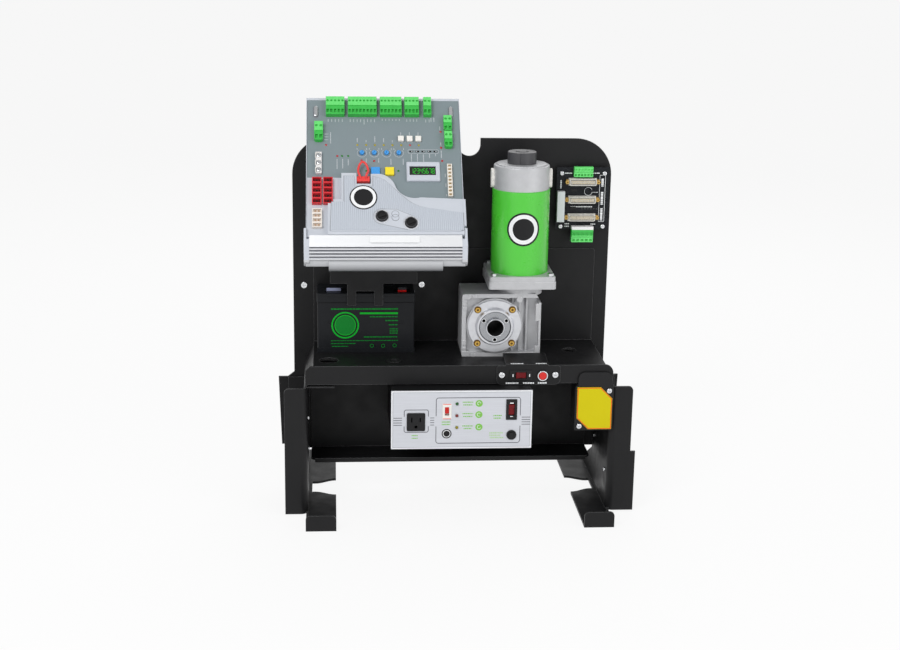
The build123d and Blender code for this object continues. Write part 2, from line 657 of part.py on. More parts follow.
def tray_front_cuts():
    """Openings in the tray's lip for the switch bodies behind the bracket."""
    x, z, width, height = RELEASE
    cut = upright(panel(x, z, width, height), TRAY_FRONT - 1, SHEET + 3)
    return cut + rod_y(*RESET, TRAY_FRONT - 1, TRAY_FRONT + SHEET + 2, RESET_RING)


# Junction box

def junction_box():
    """The black moulded box under the tray, with a tab over the lip."""
    left, right = JUNCTION_LEFT, JUNCTION_RIGHT
    middle = (left + right) / 2
    width = right - left
    height = JUNCTION_TOP - JUNCTION_BOTTOM
    base = panel(middle, JUNCTION_BOTTOM + height / 2, width, height, 3.0)
    tab_height = JUNCTION_TAB_TOP - JUNCTION_BOTTOM
    tab = panel(middle + 0.5, JUNCTION_BOTTOM + tab_height / 2, width - 7, tab_height, 11.0)
    front = TRAY_FRONT - JUNCTION_BASE
    body = upright(base + tab, front, JUNCTION_BASE)
    body = fillet(body.edges().group_by(Axis.Y)[0], 0.8)
    box_right = CHASSIS_X + LEG_INNER - 1
    body += block(left + 3, box_right, TRAY_FRONT - 1, TRAY_FRONT + JUNCTION_DEPTH,
                  JUNCTION_BOTTOM + 3, TRAY_TOP - TRAY_LIP - 1)
    return body


def junction_cover():
    """The yellow plate with two cut corners, in front of the junction box."""
    left, right = JUNCTION_LEFT + 3, JUNCTION_RIGHT - 2.5
    low, high = JUNCTION_BOTTOM + 2.5, JUNCTION_TOP - 1.5
    cut = 18.0
    face = outline(
        (left, low + cut), (left + cut, low), (right, low),
        (right, high - cut), (right - cut, high), (left, high))
    return upright(face, TRAY_FRONT - JUNCTION_BASE - JUNCTION_PLATE, JUNCTION_PLATE)


# Battery

def battery():
    """A sealed battery: ribbed lower sides, a lid with a step and two wells."""
    left, right = BATTERY_LEFT, BATTERY_LEFT + BATTERY_WIDTH
    back = TRAY_REAR_Y - BATTERY_GAP
    front = back - BATTERY_DEPTH
    lid = TRAY_TOP + BATTERY_HEIGHT
    seam = lid - 14.0
    body = block(left + 0.8, right - 0.8, front + 0.8, back - 0.8, TRAY_TOP, seam)
    body = fillet(body.edges().filter_by(Axis.Z), 2.5)
    cap = block(left, right, front, back, seam, lid)
    cap = fillet(cap.edges().filter_by(Axis.Z), 3.0)
    cap = fillet(cap.edges().group_by(Axis.Z)[-1], 1.5)
    body += cap
    body += block(left + 0.2, right - 0.2, front + 0.2, back - 0.2, TRAY_TOP, TRAY_TOP + 7)
    for x in (left + 26, right - 20):
        body -= block(x - 13, x + 13, front + 8, front + 32, lid - 4, lid + 1)
    body += block(left + 30, right - 30, back - 20, back - 8, lid, lid + 1.2)
    for offset in (-46, 46):
        middle = (left + right) / 2 + offset
        body -= block(middle - 12, middle + 12, front - 1, front + 1.6, seam - 34, seam - 30)
    return body


def battery_terminals():
    """The two blade terminals, one with a connector and one with a boot."""
    lid = TRAY_TOP + BATTERY_HEIGHT
    left, right = BATTERY_LEFT, BATTERY_LEFT + BATTERY_WIDTH
    front = TRAY_REAR_Y - BATTERY_GAP - BATTERY_DEPTH
    pieces = []
    for x in (left + 26, right - 20):
        blade = block(x - 3, x + 3, front + 18, front + 18.8, lid - 4, lid + 6)
        pieces.append(blade + block(x - 5, x + 5, front + 16, front + 26, lid - 4, lid - 3))
    boot = block(right - 26, right - 13, front + 13, front + 25, lid - 3.5, lid + 7)
    boot = fillet(boot.edges().filter_by(Axis.X), 2.0)
    pieces[1] += boot
    pieces[0] += block(left + 15, left + 37, front + 15, front + 22, lid - 3.5, lid + 5)
    return Compound(pieces)


# Gearbox

def gear_place(shape):
    """Puts a shape that was made about the output axis, along Y, in its place."""
    return Pos(BORE_X, GEAR_Y, BORE_Z) * shape


def gearbox_housing():
    """The cast housing: a square frame with ribs, a bore boss and a worm tube."""
    half, right, depth = GEAR_HALF, GEAR_RIGHT, GEAR_HALF_DEPTH
    frame = outline(
        (-half - 0.5, -half), (right, -half), (right, half - 14), (right - 5, half - 14),
        (right - 5, half - 5), (right - 9, half), (-half - 0.5, half))
    body = extrude(Plane.XZ * frame, amount=depth, both=True)
    outer = body.edges().filter_by(Axis.Y).sort_by(Axis.X)
    body = fillet(outer[:2], 4.0)
    rim = 6.0
    pocket_left = panel((-half + rim + 22) / 2, 0, half + 22 - rim, 2 * (half - rim), 5)
    pocket_right = panel((22 + right - rim) / 2, 0, right - rim - 22 + 6, 2 * (half - rim), 5)
    worm_radius = 20.0
    for side in (-1, 1):
        front = side * depth
        near, far = sorted((front + side, front - side * 7))
        body -= upright(pocket_left, near, far - near)
        near, far = sorted((front + side, front - side * 18))
        body -= upright(pocket_right, near, far - near)
    body += Pos(CENTRE_DISTANCE, 0, 0) * Cylinder(worm_radius, 2 * (half - 1))
    for x in (CENTRE_DISTANCE - 11, CENTRE_DISTANCE, CENTRE_DISTANCE + 11):
        rib = block(x - 1.2, x + 1.2, -worm_radius - 3.5, worm_radius + 3.5, -half + 4, half - 4)
        body += rib
    body += rod_y(0, 0, -depth - 1.5, depth + 1.5, COVER_RADIUS + 1.5)
    for side in (-1, 1):
        near, far = sorted((side * (depth - 5), side * (depth + 0.8)))
        body += rod_y(38.0, 41.0, near, far, 4.4)
    for turn in (45, 135, 225, 315):
        x, z = polar(COVER_BOLT_CIRCLE / 2, turn)
        body += rod_y(x, z, -depth - 1.5, depth + 1.5, 7.5)
    for x, z, width, height in FRAME_LUGS:
        for front in (-depth - LUG_PROUD, depth - LUG_DEPTH):
            body += upright(panel(x, z, width, height, 0.8), front, LUG_PROUD + LUG_DEPTH)
    neck_top = FLANGE_BOTTOM - BORE_Z
    body += Pos(CENTRE_DISTANCE, 0, (half - 4 + neck_top) / 2) * Cylinder(36, neck_top - half + 4)
    body -= rod_y(0, 0, -depth - 2, depth + 2, COVER_RECESS + 1)
    wheel_room = WHEEL_PITCH_RADIUS + MODULE + 3
    body -= rod_y(0, 0, -WHEEL_FACE / 2 - 4, WHEEL_FACE / 2 + 4, wheel_room)
    body -= Pos(CENTRE_DISTANCE, 0, (neck_top - half + 8) / 2) * Cylinder(15, neck_top + half - 8)
    body = gear_place(body)
    tray_cut = block(BORE_X - 80, BORE_X + 90, GEAR_Y - 50, GEAR_Y + 50, TRAY_TOP - 20, TRAY_TOP)
    return body - tray_cut


def polar(radius, degrees):
    """A point on a circle."""
    turn = math.radians(degrees)
    return radius * math.cos(turn), radius * math.sin(turn)


def gearbox_cover():
    """The round covers on the two sides of the housing, with a stepped recess."""
    depth = GEAR_HALF_DEPTH + 1.5
    covers = []
    for side in (-1, 1):
        near, far = sorted((side * depth, side * (depth + COVER_THICKNESS)))
        cover = rod_y(0, 0, near, far, COVER_RADIUS)
        cover = chamfer(cover.edges().group_by(Axis.Y)[0 if side < 0 else -1], 0.8)
        if side < 0:
            boss = Cone(COVER_BOSS, COVER_BOSS - COVER_BOSS_TAPER, HUB_PROUD)
            cover += Pos(0, far - COVER_THICKNESS - HUB_PROUD / 2, 0) * Rot(90, 0, 0) * boss
        for turn in (45, 135, 225, 315):
            x, z = polar(COVER_BOLT_CIRCLE / 2, turn)
            cover += rod_y(x, z, near, far, 7.0)
        near, far = sorted((side * (depth - 9), side * (depth + 1)))
        cover += rod_y(0, 0, near, far, COVER_RECESS + 1 - SHAFT_FIT)
        cover -= rod_y(0, 0, -depth - 2 * HUB_PROUD, depth + 6, HUB_FLANGE + 0.5)
        covers.append(gear_place(cover))
    return Compound(covers)


def cover_bolts():
    """Brass-coloured hexagon bolts of both covers."""
    depth = GEAR_HALF_DEPTH + 1.5 + COVER_THICKNESS
    bolts = []
    for side in (-1, 1):
        for turn in (45, 135, 225, 315):
            x, z = polar(COVER_BOLT_CIRCLE / 2, turn)
            near, far = sorted((side * depth, side * (depth + 3.2)))
            washer_near, washer_far = sorted((side * depth, side * (depth + 0.8)))
            head = RegularPolygon(COVER_BOLT_HEAD, 6)
            bolt = upright(Pos(x, z) * head, near, far - near)
            bolt += rod_y(x, z, washer_near, washer_far, COVER_BOLT_HEAD + 0.9)
            bolts.append(gear_place(bolt))
    return Compound(bolts)


def gearbox_bearings():
    """The four bearings: two at the hub and two on the worm."""
    rings = []
    for side in (-1, 1):
        near, far = sorted((side * (GEAR_HALF_DEPTH - 7.5), side * (GEAR_HALF_DEPTH - 16.5)))
        ring = rod_y(0, 0, near, far, COVER_RECESS + 1 - SHAFT_FIT)
        ring -= rod_y(0, 0, near - 1, far + 1, HUB_RADIUS + SHAFT_FIT)
        rings.append(gear_place(ring))
    for bottom in (BORE_Z - GEAR_HALF + 8, BORE_Z + GEAR_HALF - 12):
        ring = rod_z(WORM_X, GEAR_Y, bottom, bottom + 9, 15 - SHAFT_FIT)
        ring -= rod_z(WORM_X, GEAR_Y, bottom - 1, bottom + 10, WORM_CORE + SHAFT_FIT)
        rings.append(ring)
    return Compound(rings)


def output_hub():
    """The hollow output shaft with a flange at the front and tapped holes."""
    depth = GEAR_HALF_DEPTH
    front = -depth - 4 - HUB_PROUD
    body = rod_y(0, 0, front, depth + 4, HUB_RADIUS)
    body += rod_y(0, 0, front, -depth + 6.5, HUB_FLANGE)
    body += rod_y(0, 0, depth - 6.5, depth + 4, HUB_FLANGE)
    body = chamfer(body.edges().group_by(Axis.Y)[0], 0.8)
    body -= rod_y(0, 0, front - 1, depth + 5, BORE_RADIUS)
    for angle in HUB_BOLT_ANGLES:
        x, z = polar(HUB_BOLT_CIRCLE / 2, angle)
        body -= rod_y(x, z, front - 1, front + HUB_BOLT_DEPTH, HUB_BOLT_HOLE)
    return gear_place(body)


def wheel_tooth():
    """One tooth, inclined to the worm's lead, made about the Y axis at angle zero."""
    tip = WHEEL_PITCH_RADIUS + MODULE
    root = WHEEL_PITCH_RADIUS - MODULE - MESH_CLEARANCE
    half_pitch = math.pi * MODULE / 4 - MESH_CLEARANCE / 2
    slope = math.tan(math.radians(20))
    tip_half = half_pitch - MODULE * slope
    root_half = half_pitch + (MODULE + MESH_CLEARANCE) * slope
    lead = math.pi * MODULE * WORM_STARTS / (2 * math.pi * WORM_PITCH_RADIUS)
    swing = math.degrees(lead * WHEEL_FACE / 2 / WHEEL_PITCH_RADIUS)
    ends = []
    for side in (-1, 1):
        face = outline((root - 1, -root_half), (tip, -tip_half), (tip, tip_half), (root - 1, root_half))
        ends.append(Pos(0, side * WHEEL_FACE / 2, 0) * Rot(0, side * swing, 0) * (Plane.XZ * face))
    return loft(ends, ruled=True)


def worm_wheel():
    """The bronze wheel on the hub, with thirty inclined teeth."""
    root = WHEEL_PITCH_RADIUS - MODULE - MESH_CLEARANCE
    ring = rod_y(0, 0, -WHEEL_FACE / 2, WHEEL_FACE / 2, root)
    tooth = wheel_tooth()
    pitch = 360 / WHEEL_TEETH
    teeth = [Rot(0, (index + 0.5) * pitch, 0) * tooth for index in range(WHEEL_TEETH)]
    body = join([ring] + teeth)
    body -= rod_y(0, 0, -WHEEL_FACE, WHEEL_FACE, HUB_RADIUS)
    return gear_place(body)


def worm_shaft():
    """The worm with one right-hand thread, and its shaft up to the motor."""
    tip = WORM_PITCH_RADIUS + MODULE
    half_pitch = math.pi * MODULE / 4 - MESH_CLEARANCE / 2
    slope = math.tan(math.radians(20))
    crest = half_pitch - MODULE * slope
    base = half_pitch + (MODULE + MESH_CLEARANCE) * slope
    turns = 5
    path = Helix(WORM_PITCH, WORM_PITCH * turns, WORM_CORE)
    section = make_face(Polyline(
        (WORM_CORE - 0.4, -base), (tip, -crest), (tip, crest), (WORM_CORE - 0.4, base), close=True))
    thread = sweep(Plane.XZ * section, path=path, is_frenet=True)
    thread = Pos(WORM_X, GEAR_Y, BORE_Z - WORM_PITCH * turns / 2) * thread
    bottom = BORE_Z - GEAR_HALF + 8
    top = FLANGE_BOTTOM + FLANGE_LOWER + FLANGE_UPPER
    shaft = rod_z(WORM_X, GEAR_Y, bottom, top, WORM_CORE)
    return shaft + thread


# Motor

def motor_flange():
    """The square two-layer flange between gearbox and motor."""
    layers = []
    bottom = FLANGE_BOTTOM
    for height, width in ((FLANGE_LOWER, FLANGE_WIDTH), (FLANGE_UPPER, FLANGE_WIDTH - 2 * FLANGE_STEP)):
        layer = Pos(WORM_X, GEAR_Y) * RectangleRounded(width, width, 5.0)
        layers.append(level(layer, bottom, height))
        bottom += height
    body = join(layers)
    body = chamfer(body.edges().group_by(Axis.Z)[-1], 0.8)
    return body - rod_z(WORM_X, GEAR_Y, FLANGE_BOTTOM - 1, bottom + 1, WORM_CORE + 1)


def motor_axis(bottom, top, radius):
    """A round bar on the motor's axis."""
    return rod_z(WORM_X, GEAR_Y, bottom, top, radius)


def motor_body():
    """The painted motor tube."""
    body = motor_axis(FLANGE_TOP, MOTOR_TOP, MOTOR_RADIUS)
    body = fillet(body.edges().group_by(Axis.Z)[-1], 0.8)
    return body - motor_axis(FLANGE_TOP + 4, MOTOR_TOP + 1, MOTOR_RADIUS - MOTOR_WALL) \
        - motor_axis(FLANGE_TOP - 1, FLANGE_TOP + 5, WORM_CORE + 1)


def motor_end_cap():
    """The cast end cap with a raised rim and a bearing seat."""
    body = motor_axis(MOTOR_TOP, END_CAP_TOP - 2, END_CAP_RADIUS)
    body = fillet(body.edges().group_by(Axis.Z)[-1], 1.5)
    body += motor_axis(END_CAP_TOP - 4, END_CAP_TOP, END_CAP_RADIUS - 4)
    body = fillet(body.edges().group_by(Axis.Z)[-1], 1.0)
    body -= motor_axis(MOTOR_TOP - 1, END_CAP_TOP - 8, END_CAP_RADIUS - 5)
    body -= motor_axis(END_CAP_TOP - 9, END_CAP_TOP + 1, MOTOR_SHAFT + SHAFT_FIT)
    for side in (-1, 1):
        x0, x1 = sorted((WORM_X + side * 15, WORM_X + side * 50))
        body -= rod_x(GEAR_Y, BRUSH_Z, x0, x1, BRUSH_RADIUS)
    return body


def motor_brushes():
    """The two brush holders in the sides of the end cap."""
    pieces = []
    for side in (-1, 1):
        x0, x1 = sorted((WORM_X + side * (ARMATURE_RADIUS - 18 + 1), WORM_X + side * (END_CAP_RADIUS + 3)))
        holder = rod_x(GEAR_Y, BRUSH_Z, x0, x1, BRUSH_RADIUS - SHAFT_FIT)
        face0, face1 = sorted((WORM_X + side * (END_CAP_RADIUS - 3), WORM_X + side * (END_CAP_RADIUS + 4)))
        ear = RectangleRounded(14.0, 29.0, 6.0)
        ear = Pos(face0, GEAR_Y, BRUSH_Z) * extrude(Plane.YZ * ear, amount=face1 - face0)
        ear -= motor_axis(MOTOR_TOP - 5, END_CAP_TOP, END_CAP_RADIUS)
        pieces.append(holder + ear)
    return Compound(pieces)


def encoder_cap():
    """The dark cap over the rear end of the shaft."""
    body = motor_axis(END_CAP_TOP, ENCODER_TOP, ENCODER_RADIUS)
    body = fillet(body.edges().group_by(Axis.Z)[-1], 1.5)
    body += motor_axis(ENCODER_TOP - 3, ENCODER_TOP + 0.8, ENCODER_RADIUS - 12)
    body -= motor_axis(END_CAP_TOP - 1, ENCODER_TOP - 3, ENCODER_RADIUS - 2)
    notch = block(WORM_X - 5.5, WORM_X - 4, GEAR_Y - ENCODER_RADIUS - 2, GEAR_Y - ENCODER_RADIUS + 1.2,
                  END_CAP_TOP + 0.5, ENCODER_TOP + 1)
    return body - notch


def motor_magnets():
    """Two arc magnets inside the motor tube."""
    bottom, top = FLANGE_TOP + 12, MOTOR_TOP - 16
    ring = motor_axis(bottom, top, MOTOR_RADIUS - MOTOR_WALL - 0.05)
    ring -= motor_axis(bottom - 1, top + 1, MAGNET_RADIUS)
    ring -= block(WORM_X - 60, WORM_X + 60, GEAR_Y - 8, GEAR_Y + 8, bottom - 1, top + 1)
    return ring


def armature():
    """The slotted rotor, the commutator and the rear shaft."""
    bottom, top = FLANGE_TOP + 14, MOTOR_TOP - 18
    core = motor_axis(bottom, top, ARMATURE_RADIUS)
    for index in range(12):
        slot = block(ARMATURE_RADIUS - 7, ARMATURE_RADIUS + 1, -1.2, 1.2, bottom - 1, top + 1)
        core -= Pos(WORM_X, GEAR_Y, 0) * Rot(0, 0, index * 30) * slot
    for z0, z1 in ((bottom - 6, bottom + 1), (top - 1, top + 7)):
        core += motor_axis(z0, z1, ARMATURE_RADIUS - 9)
    core += motor_axis(top + 4, END_CAP_TOP - 12, ARMATURE_RADIUS - 18)
    core += motor_axis(FLANGE_TOP, ENCODER_TOP - 6, MOTOR_SHAFT)
    return core


# Controller

def on_face(sketch, bottom, height):
    """An outline on the controller's face, from a height above the faceplate."""
    return Pos(0, 0, bottom) * extrude(sketch, amount=height)


def controller_section(inset):
    """The side view of the controller, in Y and Z, set in by a wall."""
    lean = math.radians(CONTROL_LEAN)
    up = (math.sin(lean), math.cos(lean))
    back = (math.cos(lean), -math.sin(lean))
    nose = (CONTROL_NOSE_Y, CONTROL_NOSE_Z)
    low = CONTROL_NOSE_Z - CONTROL_NOSE_HEIGHT

    def at(along, deep):
        return (nose[0] + up[0] * along + back[0] * deep, nose[1] + up[1] * along + back[1] * deep)

    foot = (low - at(0, CONTROL_DEPTH)[1]) / up[1]
    corners = [(nose[0], low), nose, at(CONTROL_LENGTH, 0), at(CONTROL_LENGTH, CONTROL_DEPTH),
               at(foot, CONTROL_DEPTH)]
    face = outline(*corners)
    return offset(face, -inset) if inset else face


def controller_housing():
    """The moulded tray of the controller, with cheeks beside the heat sink."""
    body = sideways(controller_section(0), CONTROL_X - CONTROL_FACE_HALF, 2 * CONTROL_FACE_HALF)
    inner = controller_section(CONTROL_WALL)
    width = 2 * (CONTROL_FACE_HALF - CONTROL_WALL)
    body -= sideways(inner, CONTROL_X - CONTROL_FACE_HALF + CONTROL_WALL, width)
    opening = Pos(0, CONTROL_LENGTH / 2 + 4) * Rectangle(2 * CONTROL_FACE_HALF - 6, CONTROL_LENGTH - 20)
    body -= FACE * on_face(opening, -FACEPLATE, 10)
    body -= FACE * on_face(Pos(0, CONTROL_LENGTH / 2 + 3) * Rectangle(
        2 * CONTROL_FACE_HALF - 2, CONTROL_LENGTH - 14), -FACEPLATE, 10)
    cheek_depth = 24.0
    cheek = outline(
        (CONTROL_NOSE_Y - 3.5, CONTROL_NOSE_Z - CONTROL_NOSE_HEIGHT + 7),
        (CONTROL_NOSE_Y - 3.5, CONTROL_NOSE_Z + 1),
        (CONTROL_NOSE_Y + 14, CONTROL_NOSE_Z + 24), (CONTROL_NOSE_Y + cheek_depth, CONTROL_NOSE_Z + 20),
        (CONTROL_NOSE_Y + cheek_depth, CONTROL_NOSE_Z - CONTROL_NOSE_HEIGHT),
        (CONTROL_NOSE_Y + 4, CONTROL_NOSE_Z - CONTROL_NOSE_HEIGHT))
    seat = Pos(0, CONTROL_LENGTH / 2 + 4) * Rectangle(2 * CONTROL_FACE_HALF - 2, CONTROL_LENGTH - 12)
    for left in (CONTROL_X - CONTROL_HALF, CONTROL_X + CONTROL_HALF - CHEEK_WIDTH):
        body += sideways(cheek, left, CHEEK_WIDTH) - FACE * on_face(seat, -FACEPLATE, 30)
    bar_half = 83.0
    body += rod_x(CONTROL_NOSE_Y + 5, CONTROL_NOSE_Z - CONTROL_NOSE_HEIGHT + 1,
                  CONTROL_X - bar_half, CONTROL_X + bar_half, NOSE_BAR_RADIUS)
    return body


def holes_in_face():
    """The openings in the faceplate for what comes up through it."""
    cuts = [Pos(x, y) * Rectangle(size + 2 * SLIDE_FIT, size + 2 * SLIDE_FIT) for x, y, size in PUSH_CAPS]
    cuts += [Pos(x, y) * Circle(TRIMMER_RADIUS + SLIDE_FIT) for x, y in TRIMMERS]
    cuts += [Pos(x, y) * Rectangle(width - 2, height - 2) for x, y, width, height in FACE_SOCKETS]
    return cuts


def controller_faceplate():
    """The grey plate that carries the legends, with all its openings."""
    low, high = 15.0, CONTROL_LENGTH - 4
    face = Pos(0, (low + high) / 2) * Rectangle(2 * CONTROL_FACE_HALF - 3, high - low)
    for cut in holes_in_face():
        face -= cut
    face -= Pos(*DISPLAY) * Rectangle(DISPLAY_WIDTH - 4, DISPLAY_HEIGHT - 4)
    for x, y in KNOBS:
        face -= Pos(x, y) * Circle(5.0)
    return FACE * on_face(face, -FACEPLATE, FACEPLATE)


def cover_outline(inset):
    """The outline of the raised cover, with its S-shaped upper edge."""
    right = CONTROL_FACE_HALF + 2
    beside_cheek = CONTROL_FACE_HALF - 1.4
    low = SINK_BAND + 0.8
    crest = TangentArc((-7, 118), (15, 98), tangent=(1, -0.2))
    trough = TangentArc(crest @ 1, (52, 78), tangent=crest % 1)
    line = Polyline(
        trough @ 1, (right, 75), (right, 30.5), (beside_cheek, 30.5), (beside_cheek, low), (-84, low),
        (-84, 68), (-76, 68), (-76, 74.5), (-64, 74.5), (-64, 119.5), (-41.7, 119.5), (-41.7, 101),
        (-20.7, 101), (-20.7, 118), crest @ 0)
    face = make_face(Curve() + [crest, trough, line])
    if inset:
        face = offset(face, -inset)
    return face


def controller_cover():
    """The light cover over the lower half, with a raised field and two screw wells."""
    body = on_face(cover_outline(0), 0, COVER_HEIGHT)
    body += on_face(cover_outline(4.5), COVER_HEIGHT - 1, 2.0)
    body -= on_face(cover_outline(COVER_WALL), -1, COVER_HEIGHT - COVER_WALL + 1)
    for x, y in KNOBS:
        boss = Pos(x, y) * Circle(5.4)
        body += on_face(boss, 0, COVER_HEIGHT)
        body += on_face(Pos(x, y) * (Circle(KNOB_RADIUS + 3) - Circle(KNOB_RADIUS + 1)), COVER_HEIGHT, 1.6)
        body -= on_face(Pos(x, y) * Circle(3.0 + SHAFT_FIT), -5, COVER_HEIGHT + 8)
        body -= on_face(Pos(x, y) * Circle(KNOB_RADIUS + 1), COVER_HEIGHT, 5)
    window = Pos(14.2, 49) * Circle(4.4) + Pos(14.2, 43) * Circle(4.4)
    body -= on_face(window, COVER_HEIGHT, 3)
    return FACE * body


def cover_knob(index):
    """A quarter-turn screw with a slotted round head."""
    x, y = KNOBS[index]
    base = COVER_HEIGHT + SEAT
    head = on_face(Pos(x, y) * Circle(KNOB_RADIUS), base, 3.4)
    head = fillet(head.edges().group_by(Axis.Z)[-1], 0.8)
    head -= on_face(Pos(x, y) * Circle(KNOB_RADIUS - 2.2), base + 2.4, 2)
    grip = Pos(x, y) * Rot(0, 0, 20 + 8 * index) * Rectangle(2 * KNOB_RADIUS - 5, 2.6)
    head += on_face(grip, base + 2, 1.8)
    head += on_face(Pos(x, y) * Circle(3.0), -6, base + 7)
    return FACE * head


def push_cap(x, y, size):
    """A square button that comes up from its switch through the faceplate."""
    bottom = -BOARD_DROP + 4 + BUTTON_TRAVEL + SEAT
    body = on_face(Pos(x, y) * RectangleRounded(size, size, 0.8), bottom, CAP_HEIGHT - bottom)
    body = fillet(body.edges().group_by(Axis.Z)[-1], 0.6)
    return FACE * body


def trimmer(index):
    """A blue trimmer shaft with a screwdriver slot."""
    x, y = TRIMMERS[index]
    bottom = -BOARD_DROP + 4 + SEAT
    body = on_face(Pos(x, y) * Circle(TRIMMER_RADIUS), bottom, 3.6 - bottom)
    body = chamfer(body.edges().group_by(Axis.Z)[-1], 0.5)
    body -= on_face(Pos(x, y) * Rot(0, 0, 60) * Rectangle(2 * TRIMMER_RADIUS, 1.1), 2.6, 2)
    return FACE * body


def controller_board():
    """The circuit board with the switch and trimmer bodies that stand on it."""
    half = CONTROL_FACE_HALF - CONTROL_WALL - 1
    low, high = 30.0, CONTROL_LENGTH - 8
    body = on_face(Pos(0, (low + high) / 2) * Rectangle(2 * half, high - low),
                   -BOARD_DROP - BOARD_SHEET, BOARD_SHEET)
    for x, y, size in PUSH_CAPS:
        body += on_face(Pos(x, y) * Rectangle(size, size), -BOARD_DROP, 4)
    for x, y in TRIMMERS:
        body += on_face(Pos(x, y) * Rectangle(9, 9), -BOARD_DROP, 4)
    bottom = -CONTROL_DEPTH + CONTROL_WALL
    for y, reach in ((low + 8, 70), (high - 8, half - 8)):
        for x in (-reach, reach):
            body += on_face(Pos(x, y) * Circle(4), bottom, -BOARD_DROP - BOARD_SHEET - bottom)
            body += on_face(Pos(x, y) * Circle(3), -BOARD_DROP, BOARD_DROP - FACEPLATE)
    return FACE * body


def heat_sink():
    """The aluminium extrusion across the nose: a flat top band and ribs below."""
    half = CONTROL_HALF - CHEEK_WIDTH
    y, z = CONTROL_NOSE_Y, CONTROL_NOSE_Z
    lean = math.radians(CONTROL_LEAN)
    band = SINK_BAND
    top = (y + band * math.sin(lean) - 4, z + band * math.cos(lean) + 4)
    low = z - CONTROL_NOSE_HEIGHT + NOSE_BAR_RADIUS + 1.5
    points = [(y, low), (y - 2, low)]
    ribs = 4
    pitch = (z - low) / ribs
    for index in range(ribs):
        base = low + index * pitch
        points += [(y - 4.5, base + 0.8), (y - 4.5, base + pitch - 2.2), (y - 2.5, base + pitch - 1.6),
                   (y - 2.5, base + pitch - 0.4)]
    points += [(y - 4.5, z), top, (y + band * math.sin(lean), z + band * math.cos(lean)), (y, z)]
    return sideways(outline(*points), CONTROL_X - half, 2 * half)


def socket_body(x, y, width, height, rows, columns, proud):
    """A wire socket with a grid of openings, on the controller's face."""
    body = on_face(Pos(x, y) * Rectangle(width, height), 0, proud)
    body += on_face(Pos(x, y) * Rectangle(width - 2.4, height - 2.4), -BOARD_DROP, BOARD_DROP + proud / 2)
    cell = height / rows
    across = width / columns
    for row in range(rows):
        for column in range(columns):
            spot = Pos(x + (column - (columns - 1) / 2) * across, y + (row - (rows - 1) / 2) * cell)
            body -= on_face(spot * Rectangle(across - 2.6, cell - 2.6), proud - 3.5, 6)
    return body


def harness_sockets():
    """The red, white and tan sockets on the controller."""
    pieces = [socket_body(x, y, *RED_SOCKET, 5, 1, 6.0) for x, y in RED_SOCKETS]
    pieces.append(socket_body(*WHITE_SOCKET, 4, 1, 6.0))
    pieces.append(socket_body(*TAN_SOCKET, 9, 1, 5.0))
    pieces.append(socket_body(*SCREW_TERMINAL, 3, 1, 5.0))
    return Compound([FACE * piece for piece in pieces])


def green_plug(x, y, width, height, ways, proud, taper=0.4):
    """A pluggable terminal block: a header above, and a lower plug with clamp screws and wire mouths."""
    header = Pos(x, y + height / 4) * Rectangle(width, height / 2)
    plug = Rectangle(width, height / 2)
    plug = Pos(x, y - height / 4) * chamfer(plug.vertices().group_by(Axis.Y)[0], taper)
    body = on_face(header, 0, proud)
    body = chamfer(body.edges().group_by(Axis.Z)[-1], PLUG_EDGE)
    body += on_face(plug, 0, proud - PLUG_STEP)
    pitch = width / ways
    mouth = Rectangle(pitch * 0.62, height * 0.2)
    for index in range(ways):
        across = x + (index - (ways - 1) / 2) * pitch
        screw = Circle(min(pitch * 0.32, height * 0.14))
        body -= on_face(Pos(across, y + height * 0.25) * screw, proud - 1.5, 4)
        body -= on_face(Pos(across, y - height * 0.3) * mouth, proud - PLUG_STEP - 3, 6)
    return body


def terminal_plugs():
    """All green terminal blocks, on the controller and on the sensor board."""
    pieces = []
    height = CONTROL_LENGTH - 3 - TOP_PLUG_Y
    for x, width in TOP_PLUGS:
        ways = max(2, round(width / PLUG_WAY))
        pieces.append(FACE * green_plug(x, TOP_PLUG_Y + height / 2, width, height, ways, 10.0))
    for x, y, width, height in SIDE_PLUGS:
        pieces.append(FACE * green_plug(x, y, width, height, 2, 9.0, 2.5))
    upright_turn = Pos(0, SENSOR_FACE, 0) * Rot(90, 0, 0)
    pieces.append(upright_turn * green_plug(*UPPER_SENSOR_PLUG, 6, 9.0))
    x, z, width, height = LOWER_SENSOR_PLUG
    lower = green_plug(x, z, width, height, 5, 11.0)
    lower += on_face(Pos(x, z + height / 2 + 3.5) * Rectangle(width, 9.0), 0, 12.0)
    pieces.append(upright_turn * lower)
    return Compound(pieces)


def jumper_wire():
    """The short red link: a plug with two pins and a loop of wire."""
    plug = on_face(Pos(-31.8, 109.5) * Rectangle(19.0, 8.5), 0, 7.0)
    foot = 4.1
    loop = Spline((-31.8 - foot, 110, 6.0), (-31.8 - foot - 3.2, 121, 8.5), (-31.8, 137, 9.5),
                  (-31.8 + foot + 3.2, 121, 8.5), (-31.8 + foot, 110, 6.0),
                  tangents=((0, 0.6, 1), (0, -0.6, -1)))
    section = Plane(origin=loop @ 0, z_dir=loop % 0) * Circle(1.7)
    wire = sweep(section, path=loop)
    return FACE * (plug + wire)


def display():
    """The frame of the display with its dark window."""
    body = on_face(Pos(*DISPLAY) * RectangleRounded(DISPLAY_WIDTH, DISPLAY_HEIGHT, 1.5), 0, 4.0)
    body = chamfer(body.edges().group_by(Axis.Z)[-1], 1.2)
    body += on_face(Pos(*DISPLAY) * Rectangle(DISPLAY_WIDTH - 4.6, DISPLAY_HEIGHT - 4.6), -8, 9)
    body -= on_face(Pos(DISPLAY[0] - 1.0, DISPLAY[1] + 0.6) * Rectangle(*DISPLAY_WINDOW), 2.6, 3)
    return FACE * body


